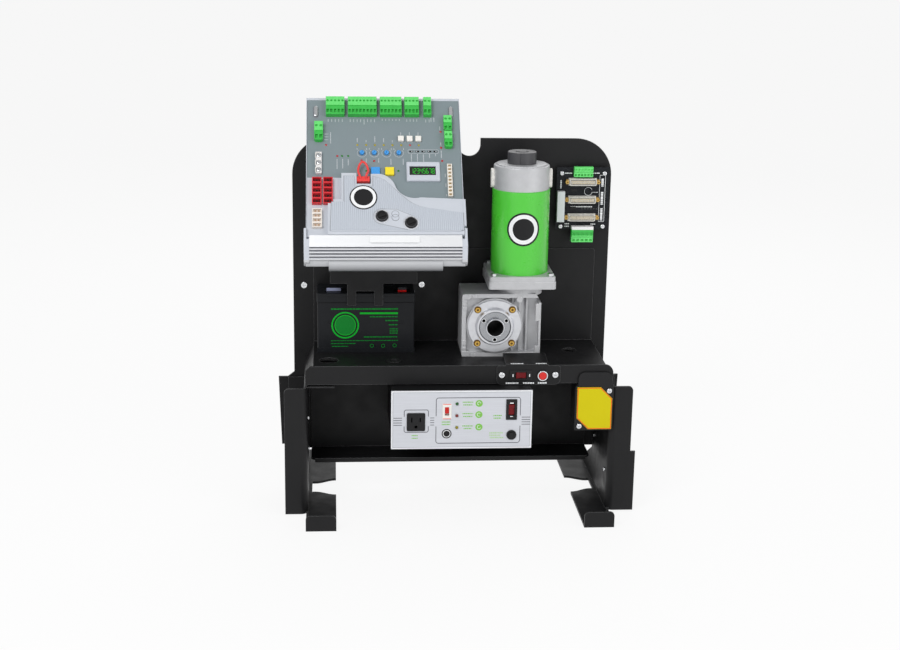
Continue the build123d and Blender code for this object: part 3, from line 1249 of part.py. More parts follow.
def controller_bracket():
    """The sheet bracket that holds the controller, with a hook over the battery."""
    left, right = CONTROL_X - 78, CONTROL_X + 78
    lean = math.radians(CONTROL_LEAN)
    up = (math.sin(lean), math.cos(lean))
    back = (math.cos(lean), -math.sin(lean))

    def at(along, deep):
        return (CONTROL_NOSE_Y + up[0] * along + back[0] * deep,
                CONTROL_NOSE_Z + up[1] * along + back[1] * deep)

    near = CONTROL_DEPTH
    rear_low = TRAY_TOP + TRAY_REAR_HEIGHT + 6
    low, high = 60.0, 198.0
    cheek = outline(at(low, near), at(high, near), (PLATE_Y, PLATE_TOP - 30), (PLATE_Y, rear_low),
                    (PLATE_Y - 30, rear_low))
    body = sideways(cheek, left, 2.5) + sideways(cheek, right - 2.5, 2.5)
    slope = outline(at(low, near), at(high, near), at(high, near + 2.5), at(low, near + 2.5))
    body += sideways(slope, left, right - left)
    body += block(left, right, PLATE_Y - 2.5, PLATE_Y, rear_low, PLATE_TOP - 30)
    hook_back = TRAY_REAR_Y - BATTERY_GAP - BATTERY_DEPTH - 0.5
    hook_front = hook_back - 2.0
    meet = at(0, near)
    along = (hook_back - meet[0]) / up[0]
    hook_top = at(along, near)[1] - 4
    across = (HOOK_LEFT + HOOK_RIGHT) / 2
    sheet = panel(across, (HOOK_BOTTOM + hook_top) / 2, HOOK_RIGHT - HOOK_LEFT, hook_top - HOOK_BOTTOM)
    fork = across - HOOK_SHIFT
    sheet += panel(fork, HOOK_BOTTOM - 5, 2 * PRONG_OFFSET + PRONG_WIDTH, 14.0)
    for offset_x in (-PRONG_OFFSET, PRONG_OFFSET):
        sheet += panel(fork + offset_x, HOOK_BOTTOM - 5 - PRONG_LENGTH / 2, PRONG_WIDTH, PRONG_LENGTH, 1.5)
    body += upright(sheet, hook_front, 2.0)
    for side in (left + 12, right - 12):
        for z in (rear_low + 14, PLATE_TOP - 44):
            body += rod_y(side, z, PLATE_Y - 5, PLATE_Y - 2.4, 4.5)
    return body


# Sensor board

def sensor_corners():
    """The four screw places of the sensor board."""
    across, high = SENSOR_SCREWS
    return [(SENSOR_X + sx * across / 2, SENSOR_Z - 1 + sz * high / 2) for sx in (-1, 1) for sz in (-1, 1)]


def sensor_board():
    """The small circuit board on stand-offs, with its header and a buzzer."""
    face = panel(SENSOR_X, SENSOR_Z + 1.5, SENSOR_WIDTH, SENSOR_HEIGHT, 1.0)
    body = upright(face, SENSOR_FACE, BOARD_SHEET)
    for x, z in sensor_corners():
        body += rod_y(x, z, SENSOR_FACE + 0.5, PLATE_Y, 3.0)
    body += block(*SENSOR_HEADER[:2], SENSOR_FACE - 9, SENSOR_FACE + 0.5, *SENSOR_HEADER[2:])
    body += rod_y(206.8, 484.0, SENSOR_FACE - 4, SENSOR_FACE + 0.5, 3.8)
    body += block(209, 220, SENSOR_FACE - 2.5, SENSOR_FACE + 0.5, 482.6, 485.4)
    return body


def d_sub_connectors():
    """Three wide plugs in a column, each with two jack screws."""
    pieces = []
    front = SENSOR_FACE - 9.0
    for z in PLUG_ROWS:
        shell = upright(panel(SENSOR_X - 1, z, 42.0, 10.6, 2.4), front, 9.0)
        shell -= upright(panel(SENSOR_X - 1, z, 39.5, 8.2, 1.8), front - 1, 5.0)
        shell += upright(panel(SENSOR_X - 1, z, 38.0, 5.6, 1.4), front + 0.6, 5.0)
        shell += upright(panel(SENSOR_X - 1, z, PLUG_PITCH + 3, 11.6, 1.5), SENSOR_FACE - 3, 3.0)
        for side in (-1, 1):
            x = SENSOR_X - 1 + side * PLUG_PITCH / 2
            jack = upright(Pos(x, z) * RegularPolygon(3.0, 6), SENSOR_FACE - 8, 6)
            shell += jack - rod_y(x, z, SENSOR_FACE - 9, SENSOR_FACE - 4, 1.3)
        pieces.append(shell)
    return Compound(pieces)


# Screws

def zinc_screws():
    """The zinc-plated screws that hold plates, boards and brackets."""
    screws = []
    z = TRAY_TOP - (TRAY_TOP - BRACKET_BOTTOM) / 2 + 0.5
    for x in (65.2, 146.9):
        screws.append(screw_y(x, z, BRACKET_FACE, 4.8))
    base = TRAY_FRONT - JUNCTION_BASE
    inset = 7.4
    corners = ((JUNCTION_RIGHT - inset, JUNCTION_TOP - inset), (JUNCTION_LEFT + inset, JUNCTION_BOTTOM + inset))
    for x, z in corners:
        screws.append(screw_y(x, z, base, 4.1))
    screws.append(screw_y(-234.0, 331.0, PLATE_Y, 5.2))
    screws.append(screw_y(-49.5, 332.0, TRAY_REAR_Y, 5.2))
    for x, z in sensor_corners():
        screws.append(screw_y(x, z, SENSOR_FACE, 3.4))
    reach = FLANGE_WIDTH / 2 - 8.5
    for sx in (-1, 1):
        for sy in (-1, 1):
            head = Pos(WORM_X + sx * reach, GEAR_Y + sy * reach) * RegularPolygon(5.0, 6)
            bolt = level(head, FLANGE_TOP, 4.6)
            screws.append(chamfer(bolt.edges().group_by(Axis.Z)[-1], 0.6))
    for side, places in ((1, ((8.0, 85.0), (-95.0, 64.0))), (-1, ((-57.0, 90.0), (-85.0, 150.0)))):
        for y, z in places:
            x0, x1 = sorted((CHASSIS_X + side * LEG_INNER, CHASSIS_X + side * (LEG_INNER - 2.4)))
            head = rod_x(y, z, x0, x1, 3.4)
            screws.append(fillet(head.edges().group_by(Axis.X)[0 if side > 0 else -1], 1.0))
    return Compound(screws)


# All pieces, by name

PIECES = {
    "back_plate": back_plate,
    "lower_panel": lower_panel,
    "shelf": lambda: shelf() - tray_front_cuts(),
    "left_leg": left_leg,
    "right_leg": right_leg,
    "zinc_screws": zinc_screws,
    "power_box": power_box,
    "power_panel": power_panel,
    "power_outlet": power_outlet,
    "voltage_selector_body": voltage_selector_body,
    "voltage_slider": voltage_slider,
    "switch_bezels": switch_bezels,
    "power_rocker": power_rocker,
    "breaker_body": breaker_body,
    "breaker_button": breaker_button,
    "panel_leds": panel_leds,
    "switch_bracket": switch_bracket,
    "release_rocker": release_rocker,
    "reset_button": reset_button,
    "junction_box": junction_box,
    "junction_cover": junction_cover,
    "battery": battery,
    "battery_terminals": battery_terminals,
    "gearbox_housing": gearbox_housing,
    "gearbox_cover": gearbox_cover,
    "cover_bolts": cover_bolts,
    "gearbox_bearings": gearbox_bearings,
    "output_hub": output_hub,
    "worm_wheel": worm_wheel,
    "worm_shaft": worm_shaft,
    "motor_flange": motor_flange,
    "motor_body": motor_body,
    "motor_end_cap": motor_end_cap,
    "motor_brushes": motor_brushes,
    "encoder_cap": encoder_cap,
    "motor_magnets": motor_magnets,
    "armature": armature,
    "controller_bracket": controller_bracket,
    "controller_housing": controller_housing,
    "controller_faceplate": controller_faceplate,
    "controller_cover": controller_cover,
    "controller_board": controller_board,
    "heat_sink": heat_sink,
    "harness_sockets": harness_sockets,
    "terminal_plugs": terminal_plugs,
    "jumper_wire": jumper_wire,
    "display": display,
    "sensor_board": sensor_board,
    "d_sub_connectors": d_sub_connectors,
    "blue_button": lambda: push_cap(*BLUE, CAP_SIZE),
    "yellow_button": lambda: push_cap(*YELLOW, CAP_SIZE),
    "open_button": lambda: push_cap(*WHITE_KEYS[0], WHITE_CAP),
    "stop_button": lambda: push_cap(*WHITE_KEYS[1], WHITE_CAP),
    "close_button": lambda: push_cap(*WHITE_KEYS[2], WHITE_CAP),
}
for number in range(4):
    PIECES[f"trimmer_{number + 1}"] = lambda number=number: trimmer(number)
for number in range(2):
    PIECES[f"cover_knob_{number + 1}"] = lambda number=number: cover_knob(number)

for name, make in PIECES.items():
    export_step(make(), f"parts/{name}.step")
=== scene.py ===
"""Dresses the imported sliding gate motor: materials, printed marks, lamps, glass, camera and light."""
import json
import math
import bmesh
import bpy
from mathutils import Matrix, Vector


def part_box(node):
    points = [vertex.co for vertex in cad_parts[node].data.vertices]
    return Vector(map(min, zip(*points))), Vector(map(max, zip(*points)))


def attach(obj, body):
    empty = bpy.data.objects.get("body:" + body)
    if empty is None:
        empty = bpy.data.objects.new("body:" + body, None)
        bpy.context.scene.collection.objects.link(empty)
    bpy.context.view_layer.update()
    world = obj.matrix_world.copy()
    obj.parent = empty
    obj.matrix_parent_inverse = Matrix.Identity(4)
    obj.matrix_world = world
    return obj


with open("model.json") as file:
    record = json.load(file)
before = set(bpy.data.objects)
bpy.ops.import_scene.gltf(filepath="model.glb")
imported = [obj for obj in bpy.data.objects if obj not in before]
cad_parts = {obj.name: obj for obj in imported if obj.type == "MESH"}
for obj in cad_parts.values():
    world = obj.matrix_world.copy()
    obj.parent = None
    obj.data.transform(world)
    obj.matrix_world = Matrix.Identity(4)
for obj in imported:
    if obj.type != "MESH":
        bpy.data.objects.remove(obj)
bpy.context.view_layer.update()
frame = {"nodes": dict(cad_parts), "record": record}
MM = 0.001

# The sloping controller face, as in the part's source, in mm
FACE_LEAN = math.radians(41.0)
FACE_ORIGIN = (-112.0, -149.0, 432.0)
COVER_TOP = 8.0
PLATE_TOP = 0.0
SINK_RIBS = (412.6, 432.0)           # heights between which the heat sink has its ribs

# Other planes that carry printed marks, in mm
PANEL_FRONT = -141.0
BRACKET_FRONT = -116.0
BATTERY_FRONT = -39.0
BOARD_FRONT = 17.0
HUB_FRONT = -76.0
COVER_FRONT = -71.5
COVER_BOLT_REACH = 37.5
PANEL_MIDDLE = (3.5, 163.0)
SELECTOR = (-19.0, 176.5)
BEZEL_PROUD = 1.4     # the switch frames stand proud of their panels
POWER_SWITCH = (78.6, 178.5)
GREEN_DISCS = ((29.4, 188.6), (29.3, 170.9), (29.7, 151.1))
BRACKET_TOP = (-116.0, 242.0)        # y and z of the front edge of the bracket's top
BRACKET_TOP_BACK = (-72.0, 247.0)
MOTOR_X = 97.5
MOTOR_Y = -30.5
MOTOR_RADIUS = 44.0
FILM = 0.12           # thickness of a printed mark


# Places

def on_face(height=0.0):
    """Local u across, v up the slope and w outwards, in mm, to the row frame."""
    sine = math.sin(FACE_LEAN)
    cosine = math.cos(FACE_LEAN)
    across = Vector((1, 0, 0))
    up = Vector((0, sine, cosine))
    out = Vector((0, -cosine, sine))
    origin = Vector(FACE_ORIGIN) + out * height
    return placing(across, up, out, origin)


def on_front(y):
    """Local x across, z up and w towards the viewer, on a plane that faces -Y."""
    return placing(Vector((1, 0, 0)), Vector((0, 0, 1)), Vector((0, -1, 0)), Vector((0, y, 0)))


def on_top(z):
    """Local x, y and w upwards, on a level plane."""
    return placing(Vector((1, 0, 0)), Vector((0, 1, 0)), Vector((0, 0, 1)), Vector((0, 0, z)))


def on_bracket_top():
    """Local x, the way up the bracket's sloping top, and w outwards."""
    up = Vector((0, BRACKET_TOP_BACK[0] - BRACKET_TOP[0], BRACKET_TOP_BACK[1] - BRACKET_TOP[1])).normalized()
    across = Vector((1, 0, 0))
    return placing(across, up, across.cross(up), Vector((0, *BRACKET_TOP)))


def placing(across, up, out, origin):
    """The matrix from local millimetres to metres in the row frame."""
    matrix = Matrix((across, up, out)).transposed().to_4x4()
    matrix.translation = origin
    return Matrix.Scale(MM, 4) @ matrix


# Mesh building

def prism(bm, points, bottom, top):
    """A straight prism over an outline."""
    low = [bm.verts.new((x, y, bottom)) for x, y in points]
    high = [bm.verts.new((x, y, top)) for x, y in points]
    count = len(points)
    bm.faces.new(list(reversed(low)))
    bm.faces.new(high)
    for i in range(count):
        j = (i + 1) % count
        bm.faces.new((low[i], low[j], high[j], high[i]))


def rounded(x, y, width, height, corner, steps=5):
    """The outline of a rounded rectangle about its centre."""
    corner = max(min(corner, width / 2 - 0.01, height / 2 - 0.01), 0.01)
    points = []
    for quarter, (sx, sy) in enumerate(((1, 1), (-1, 1), (-1, -1), (1, -1))):
        cx = x + sx * (width / 2 - corner)
        cy = y + sy * (height / 2 - corner)
        for step in range(steps + 1):
            turn = math.radians(90 * (quarter + step / steps))
            points.append((cx + corner * math.cos(turn), cy + corner * math.sin(turn)))
    return points


def plate(bm, x, y, width, height, bottom, top, corner=0.3):
    """A rounded rectangular plate about its centre."""
    prism(bm, rounded(x, y, width, height, corner), bottom, top)


def ring(bm, x, y, inner, outer, bottom, top, start=0.0, end=360.0, steps=48):
    """A flat ring, or an arc of one, with square edges."""
    closed = end - start >= 359.9
    count = steps if closed else steps + 1
    rows = []
    for i in range(count):
        turn = math.radians(start + (end - start) * i / steps)
        c, s = math.cos(turn), math.sin(turn)
        rows.append([bm.verts.new((x + radius * c, y + radius * s, w)) for radius, w in (
            (inner, bottom), (outer, bottom), (outer, top), (inner, top))])
    for i in range(count if closed else count - 1):
        a, b = rows[i], rows[(i + 1) % count]
        for k in range(4):
            m = (k + 1) % 4
            bm.faces.new((a[k], b[k], b[m], a[m]))
    if not closed:
        bm.faces.new(list(reversed(rows[0])))
        bm.faces.new(rows[-1])


def dome(bm, x, y, radius, bottom, height, steps=20, levels=5):
    """A low dome with a short straight wall, such as a lamp or a screw head."""
    rows = []
    profile = [(radius, bottom), (radius, bottom + height * 0.35)]
    for level in range(1, levels):
        turn = math.radians(90 * level / levels)
        profile.append((radius * math.cos(turn), bottom + height * (0.35 + 0.65 * math.sin(turn))))
    for r, w in profile:
        rows.append([bm.verts.new((x + r * math.cos(2 * math.pi * i / steps),
                                   y + r * math.sin(2 * math.pi * i / steps), w)) for i in range(steps)])
    peak = bm.verts.new((x, y, bottom + height))
    for a, b in zip(rows, rows[1:]):
        for i in range(steps):
            j = (i + 1) % steps
            bm.faces.new((a[i], a[j], b[j], b[i]))
    for i in range(steps):
        bm.faces.new((rows[-1][i], rows[-1][(i + 1) % steps], peak))
    bm.faces.new(list(reversed(rows[0])))


def disc(bm, x, y, radius, bottom, top, steps=40):
    """A flat disc."""
    points = [(x + radius * math.cos(2 * math.pi * i / steps), y + radius * math.sin(2 * math.pi * i / steps))
              for i in range(steps)]
    prism(bm, points, bottom, top)


def dashes(bm, first, last, level, height, top=None, run=2.2, gap=0.6, upwards=False):
    """A bare row of short uneven bars, where the object has small print."""
    top = FILM if top is None else top
    place, step = first, 0
    while place < last - 0.5:
        width = min(run * (0.7, 1.1, 0.9, 1.4, 0.6)[step % 5], last - place)
        middle = place + width / 2
        if upwards:
            plate(bm, level, middle, height, width, top - 0.25, top, 0.12)
        else:
            plate(bm, middle, level, width, height, top - 0.25, top, 0.12)
        place += width + gap
        step += 1


def broken_outline(bm, left, right, low, high, line, corner, gap):
    """A rounded outline that is open for a stretch in its left and right sides."""
    for x, y, start in ((right - corner, high - corner, 0), (left + corner, high - corner, 90),
                        (left + corner, low + corner, 180), (right - corner, low + corner, 270)):
        ring(bm, x, y, corner - line / 2, corner + line / 2, -0.1, FILM, start, start + 90, 8)
    for y in (low, high):
        plate(bm, (left + right) / 2, y, right - left - 2 * corner, line, -0.1, FILM, 0.05)
    for x in (left, right):
        for start, end in ((low + corner, gap[0]), (gap[1], high - corner)):
            plate(bm, x, (start + end) / 2, line, end - start, -0.1, FILM, 0.05)


def inset(points, step):
    """A convex outline, given anticlockwise, moved inwards."""
    moved = []
    count = len(points)
    for i in range(count):
        before, here, after = (Vector(points[k % count]) for k in (i - 1, i, i + 1))
        first = (here - before).normalized()
        second = (after - here).normalized()
        normals = Vector((-first.y, first.x)), Vector((-second.y, second.x))
        spread_by = 1 + normals[0].dot(normals[1])
        moved.append(here + (normals[0] + normals[1]) * (step / spread_by))
    return moved


def band(bm, outer, inner, bottom, top):
    """A flat band between two outlines with as many points."""
    rows = [[bm.verts.new((x, y, w)) for x, y in points] for points, w in (
        (outer, bottom), (outer, top), (inner, top), (inner, bottom))]
    count = len(outer)
    for k in range(4):
        a, b = rows[k], rows[(k + 1) % 4]
        for i in range(count):
            j = (i + 1) % count
            bm.faces.new((a[i], a[j], b[j], b[i]))


def hull(points):
    """The convex outline round some points, anticlockwise."""
    def half(ordered):
        chain = []
        for p in ordered:
            while len(chain) > 1 and (Vector(chain[-1]) - Vector(chain[-2])).cross(
                    Vector(p) - Vector(chain[-1])) <= 0:
                chain.pop()
            chain.append(p)
        return chain[:-1]
    ordered = sorted(set(points))
    return half(ordered) + half(ordered[::-1])


def circle_points(x, y, radius, steps=48):
    """Points on a circle."""
    return [(x + radius * math.cos(2 * math.pi * i / steps), y + radius * math.sin(2 * math.pi * i / steps))
            for i in range(steps)]


def piece(name, build, place, look, body="chassis", smooth=False, edge=0.0):
    """Builds one named mesh piece from a function, puts it in place and lets it ride on its body."""
    bm = bmesh.new()
    build(bm)
    bm.transform(place)
    bmesh.ops.recalc_face_normals(bm, faces=bm.faces)
    mesh = bpy.data.meshes.new(name)
    bm.to_mesh(mesh)
    bm.free()
    mesh.materials.append(look)
    if smooth:
        mesh.shade_smooth()
    shown = bpy.data.objects.new(name, mesh)
    bpy.context.scene.collection.objects.link(shown)
    if edge:
        bevel = shown.modifiers.new("edge", "BEVEL")
        bevel.width = edge * MM
        bevel.segments = 2
        bevel.limit_method = "ANGLE"
    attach(shown, body)
    return shown


# Materials

class Look:
    """A procedural material whose colour, gloss and relief come from noise in the row frame."""

    def __init__(self, name):
        self.material = bpy.data.materials.new(name)
        self.material.use_nodes = True
        self.nodes = self.material.node_tree.nodes
        self.links = self.material.node_tree.links
        self.shader = self.nodes["Principled BSDF"]
        self.place = self.nodes.new("ShaderNodeTexCoord").outputs["Object"]

    def noise(self, scale, detail=4.0, stretch=(1, 1, 1)):
        """Noise of that scale per metre, stretched along the axes."""
        mapping = self.nodes.new("ShaderNodeMapping")
        mapping.inputs["Scale"].default_value = stretch
        self.links.new(self.place, mapping.inputs["Vector"])
        texture = self.nodes.new("ShaderNodeTexNoise")
        texture.inputs["Scale"].default_value = scale
        texture.inputs["Detail"].default_value = detail
        self.links.new(mapping.outputs["Vector"], texture.inputs["Vector"])
        return texture.outputs["Fac"]

    def blend(self, factor, first, second):
        """A colour between two others; each may be a colour or a socket."""
        mix = self.nodes.new("ShaderNodeMix")
        mix.data_type = "RGBA"
        if isinstance(factor, float):
            mix.inputs[0].default_value = factor
        else:
            self.links.new(factor, mix.inputs[0])
        for index, value in ((6, first), (7, second)):
            if isinstance(value, tuple):
                mix.inputs[index].default_value = (*value, 1.0)
            else:
                self.links.new(value, mix.inputs[index])
        return mix.outputs[2]

    def axis(self, index):
        """The position along one axis of the row frame, in metres."""
        split = self.nodes.new("ShaderNodeSeparateXYZ")
        self.links.new(self.place, split.inputs[0])
        return split.outputs[index]

    def math(self, operation, first, second=0.0):
        """One step of arithmetic; each value may be a number or a socket."""
        step = self.nodes.new("ShaderNodeMath")
        step.operation = operation
        for index, value in ((0, first), (1, second)):
            if isinstance(value, (int, float)):
                step.inputs[index].default_value = value
            else:
                self.links.new(value, step.inputs[index])
        return step.outputs[0]

    def above(self, index, limit):
        """1 where the position along the axis is past the limit, in mm."""
        return self.math("GREATER_THAN", self.axis(index), limit * MM)

    def both(self, first, second):
        return self.math("MULTIPLY", first, second)

    def over_face(self, limit):
        """1 where the height over the controller's sloping face is past the limit, in mm."""
        sine, cosine = math.sin(FACE_LEAN), math.cos(FACE_LEAN)
        height = self.math("ADD", self.math("MULTIPLY", self.axis(1), -cosine),
                           self.math("MULTIPLY", self.axis(2), sine))
        return self.math("GREATER_THAN", height, (limit - cosine * FACE_ORIGIN[1] + sine * FACE_ORIGIN[2]) * MM)

    def between(self, index, low, high):
        """1 where the position along the axis is between two limits, in mm."""
        return self.both(self.above(index, low), self.math("LESS_THAN", self.axis(index), high * MM))

    def edges(self, radius, gain):
        """Grows from 0 on flat stretches to 1 at corners."""
        bevel = self.nodes.new("ShaderNodeBevel")
        bevel.samples = 4
        bevel.inputs["Radius"].default_value = radius * MM
        surface = self.nodes.new("ShaderNodeNewGeometry")
        dot = self.nodes.new("ShaderNodeVectorMath")
        dot.operation = "DOT_PRODUCT"
        self.links.new(bevel.outputs["Normal"], dot.inputs[0])
        self.links.new(surface.outputs["Normal"], dot.inputs[1])
        return self.math("MULTIPLY", self.math("SUBTRACT", 1.0, dot.outputs["Value"]), gain)

    def colour(self, value):
        """Sets the base colour to a colour or a socket."""
        if isinstance(value, tuple):
            self.shader.inputs["Base Color"].default_value = (*value, 1.0)
        else:
            self.links.new(value, self.shader.inputs["Base Color"])

    def gloss(self, low, high, scale, stretch=(1, 1, 1)):
        """Roughness that wanders between two values."""
        spread = self.nodes.new("ShaderNodeMapRange")
        spread.inputs["From Min"].default_value = 0.3
        spread.inputs["From Max"].default_value = 0.7
        spread.inputs["To Min"].default_value = low
        spread.inputs["To Max"].default_value = high
        self.links.new(self.noise(scale, 3.0, stretch), spread.inputs["Value"])
        self.links.new(spread.outputs["Result"], self.shader.inputs["Roughness"])

    def relief(self, height, strength, distance=0.0002, edge=0.0):
        """Bump from a socket, with the object's edges rounded to catch the light."""
        bump = self.nodes.new("ShaderNodeBump")
        bump.inputs["Strength"].default_value = strength
        bump.inputs["Distance"].default_value = distance
        self.links.new(height, bump.inputs["Height"])
        if edge:
            bevel = self.nodes.new("ShaderNodeBevel")
            bevel.samples = 4
            bevel.inputs["Radius"].default_value = edge * MM
            self.links.new(bevel.outputs["Normal"], bump.inputs["Normal"])
        self.links.new(bump.outputs["Normal"], self.shader.inputs["Normal"])

    def set(self, **values):
        """Sets plain values on the shader's own sockets."""
        for key, value in values.items():
            self.shader.inputs[key.replace("_", " ")].default_value = value
        return self


def spread(colour, amount):
    """Two neighbours of a colour, one darker and one lighter."""
    darker = tuple(max(c * (1 - amount), 0.0) for c in colour)
    lighter = tuple(min(c * (1 + amount), 1.0) for c in colour)
    return darker, lighter


def plastic(name, colour, rough=0.45, vary=0.06, edge=0.4, specular=0.4):
    """Moulded plastic with a fine grain."""
    look = Look(name)
    look.colour(look.blend(look.noise(35.0), *spread(colour, vary)))
    look.gloss(rough - 0.06, rough + 0.08, 120.0)
    look.relief(look.noise(1400.0, 2.0), 0.12, 0.0001, edge)
    look.set(Specular_IOR_Level=specular)
    return look.material


def metal(name, colour, rough=0.3, stretch=(1, 1, 1), scale=300.0, depth=0.1, vary=0.1, edge=0.3, metallic=1.0):
    """Bare metal, brushed or turned where stretched."""
    look = Look(name)
    look.colour(look.blend(look.noise(scale, 5.0, stretch), *spread(colour, vary)))
    look.gloss(rough - 0.08, rough + 0.12, scale * 0.7, stretch)
    look.relief(look.noise(scale * 2, 3.0, stretch), depth, 0.0001, edge)
    look.set(Metallic=metallic)
    return look.material


def cast(name, colour, metallic=0.35):
    """Die-cast aluminium: a soft, slightly pitted skin, with a painted highlight that brightens the corners."""
    look = Look(name)
    pits = look.noise(700.0, 6.0)
    skin = look.blend(look.noise(90.0, 5.0), *spread(colour, 0.10))
    # painted highlight: the corners are blended towards a pale colour
    look.colour(look.blend(look.edges(0.9, 5.0), skin, (0.86, 0.87, 0.88)))
    look.gloss(0.36, 0.56, 240.0)
    look.relief(pits, 0.3, 0.0002, 0.6)
    look.set(Metallic=metallic)
    return look.material


def painted(name, colour, rough=0.4, peel=500.0, depth=0.2, vary=0.08, edge=0.7, coat=0.0, specular=0.5,
            edge_highlight=None):
    """Powder coat or enamel with a fine orange peel, and a painted highlight that makes its corners paler."""
    look = Look(name)
    skin = look.blend(look.noise(18.0, 3.0), *spread(colour, vary))
    # painted highlight: the corners are blended towards a paler colour
    look.colour(look.blend(look.edges(1.2, 4.0), skin, edge_highlight) if edge_highlight else skin)
    look.gloss(rough - 0.07, rough + 0.1, 40.0)
    look.relief(look.noise(peel, 3.0), depth, 0.0001, edge)
    look.set(Specular_IOR_Level=specular, Coat_Weight=coat, Coat_Roughness=0.12)
    return look.material


def turned(name, colour, axis, centre, rough=0.26, metallic=1.0, dark=()):
    """Turned metal: fine rings about an axis, given by its two cross positions in mm, and painted shade in its
    holes.
    """
    look = Look(name)
    first, second = [i for i in range(3) if i != axis]

    def reach(spot):
        a = look.math("SUBTRACT", look.axis(first), spot[0] * MM)
        b = look.math("SUBTRACT", look.axis(second), spot[1] * MM)
        return look.math("SQRT", look.math("ADD", look.math("MULTIPLY", a, a), look.math("MULTIPLY", b, b)))

    radius = reach(centre)
    rings = look.math("SINE", look.math("MULTIPLY", radius, 14000.0))
    skin = look.blend(look.noise(140.0, 5.0), *spread(colour, 0.1))
    inside = 0.0
    for x, y, size in dark:
        inside = look.math("MAXIMUM", inside, look.math("LESS_THAN", reach((x, y)), size * MM))
    if dark:
        # painted shade: the holes are drawn near black, matte and not metallic
        skin = look.blend(inside, skin, (0.008, 0.008, 0.009))
        look.links.new(look.math("MULTIPLY", look.math("SUBTRACT", 1.0, inside), metallic),
                       look.shader.inputs["Metallic"])
    else:
        look.set(Metallic=metallic)
    look.colour(skin)
    look.gloss(rough - 0.06, rough + 0.12, 200.0)
    if dark:
        sheen = look.shader.inputs["Roughness"].links[0].from_socket
        look.links.new(look.math("MAXIMUM", sheen, inside), look.shader.inputs["Roughness"])
        look.set(Specular_IOR_Level=0.2)
    look.relief(look.math("ADD", rings, look.noise(900.0, 2.0)), 0.12, 0.00005, 0.4)
    return look.material


def lamp(name, colour, strength=0.0):
    """A tinted lens, lit or not."""
    look = Look(name)
    look.colour(look.blend(look.noise(600.0, 2.0), *spread(colour, 0.15)))
    look.gloss(0.14, 0.24, 500.0)
    look.set(Coat_Weight=0.6, Coat_Roughness=0.08)
    if strength:
        look.set(Emission_Color=(*colour, 1.0), Emission_Strength=strength)
    return look.material


def ink(name, colour, rough=0.5):
    """A printed film with a faintly uneven edge of pigment."""
    look = Look(name)
    look.colour(look.blend(look.noise(800.0, 3.0), *spread(colour, 0.07)))
    look.gloss(rough - 0.05, rough + 0.08, 300.0)
    look.relief(look.noise(1600.0, 2.0), 0.06, 0.00005)
    look.set(Specular_IOR_Level=0.2)
    return look.material


BLACK = (0.0075, 0.0075, 0.0082)
# the paler colour of the painted highlight on the black steel's corners
EDGE_HIGHLIGHT_BLACK = (0.14, 0.14, 0.145)
LIGHT_GREY = (0.535, 0.565, 0.62)
BLUE_GREY = (0.205, 0.253, 0.272)
SILK_WHITE = (0.78, 0.80, 0.82)


def faceplate_look():
    """Blue-grey above, and light grey in the left column below the plate's step."""
    look = Look("faceplate")
    low = look.math("LESS_THAN", look.axis(2), 519.0 * MM)
    left = look.math("LESS_THAN", look.axis(0), -173.0 * MM)
    base = look.blend(look.both(low, left), BLUE_GREY, LIGHT_GREY)
    tint = look.blend(look.noise(30.0), (0.93, 0.93, 0.93), (1.0, 1.0, 1.0))
    mix = look.nodes.new("ShaderNodeMix")
    mix.data_type = "RGBA"
    mix.blend_type = "MULTIPLY"
    mix.inputs[0].default_value = 1.0
    look.links.new(base, mix.inputs[6])
    look.links.new(tint, mix.inputs[7])
    look.colour(mix.outputs[2])
    look.gloss(0.42, 0.55, 90.0)
    look.relief(look.noise(1300.0, 2.0), 0.1, 0.0001, 0.4)
    return look.material


def ribbed_look():
    """The cover's field: fine ribs that run up the slope, with painted shade that darkens the troughs between them.
    """
    look = Look("ribbed_grey")
    turns = 2 * math.pi / (2.9 * MM)
    wave = look.math("SINE", look.math("MULTIPLY", look.axis(0), turns))
    shade = look.math("ADD", look.math("MULTIPLY", wave, 0.5), 0.5)
    # painted shade: the colour follows the ribs, lighter on the crests and darker in the troughs
    look.colour(look.blend(shade, (0.43, 0.465, 0.525), (0.505, 0.545, 0.605)))
    look.gloss(0.42, 0.52, 90.0)
    look.relief(wave, 0.5, 0.0004)
    return look.material


def housing_look():
    """The controller's housing: light grey plastic, and on the bar below its nose a painted shade, darker downwards.
    """
    look = Look("light_grey_plastic")
    bar = look.both(look.math("LESS_THAN", look.axis(2), 412.5 * MM),
                    look.math("LESS_THAN", look.axis(1), -134.0 * MM))
    skin = look.blend(look.noise(35.0), *spread(LIGHT_GREY, 0.05))
    # painted shade: the bar's colour darkens downwards as if lit from above
    down = look.math("DIVIDE", look.math("SUBTRACT", 412.5 * MM, look.axis(2)), 18.0 * MM)
    bar_shade = look.blend(look.math("POWER", look.math("MAXIMUM", down, 0.0), 1.4),
                       (0.52, 0.53, 0.55), (0.13, 0.135, 0.145))
    look.colour(look.blend(bar, skin, bar_shade))
    look.gloss(0.36, 0.5, 120.0)
    look.relief(look.noise(1400.0, 2.0), 0.1, 0.0001, 0.4)
    return look.material


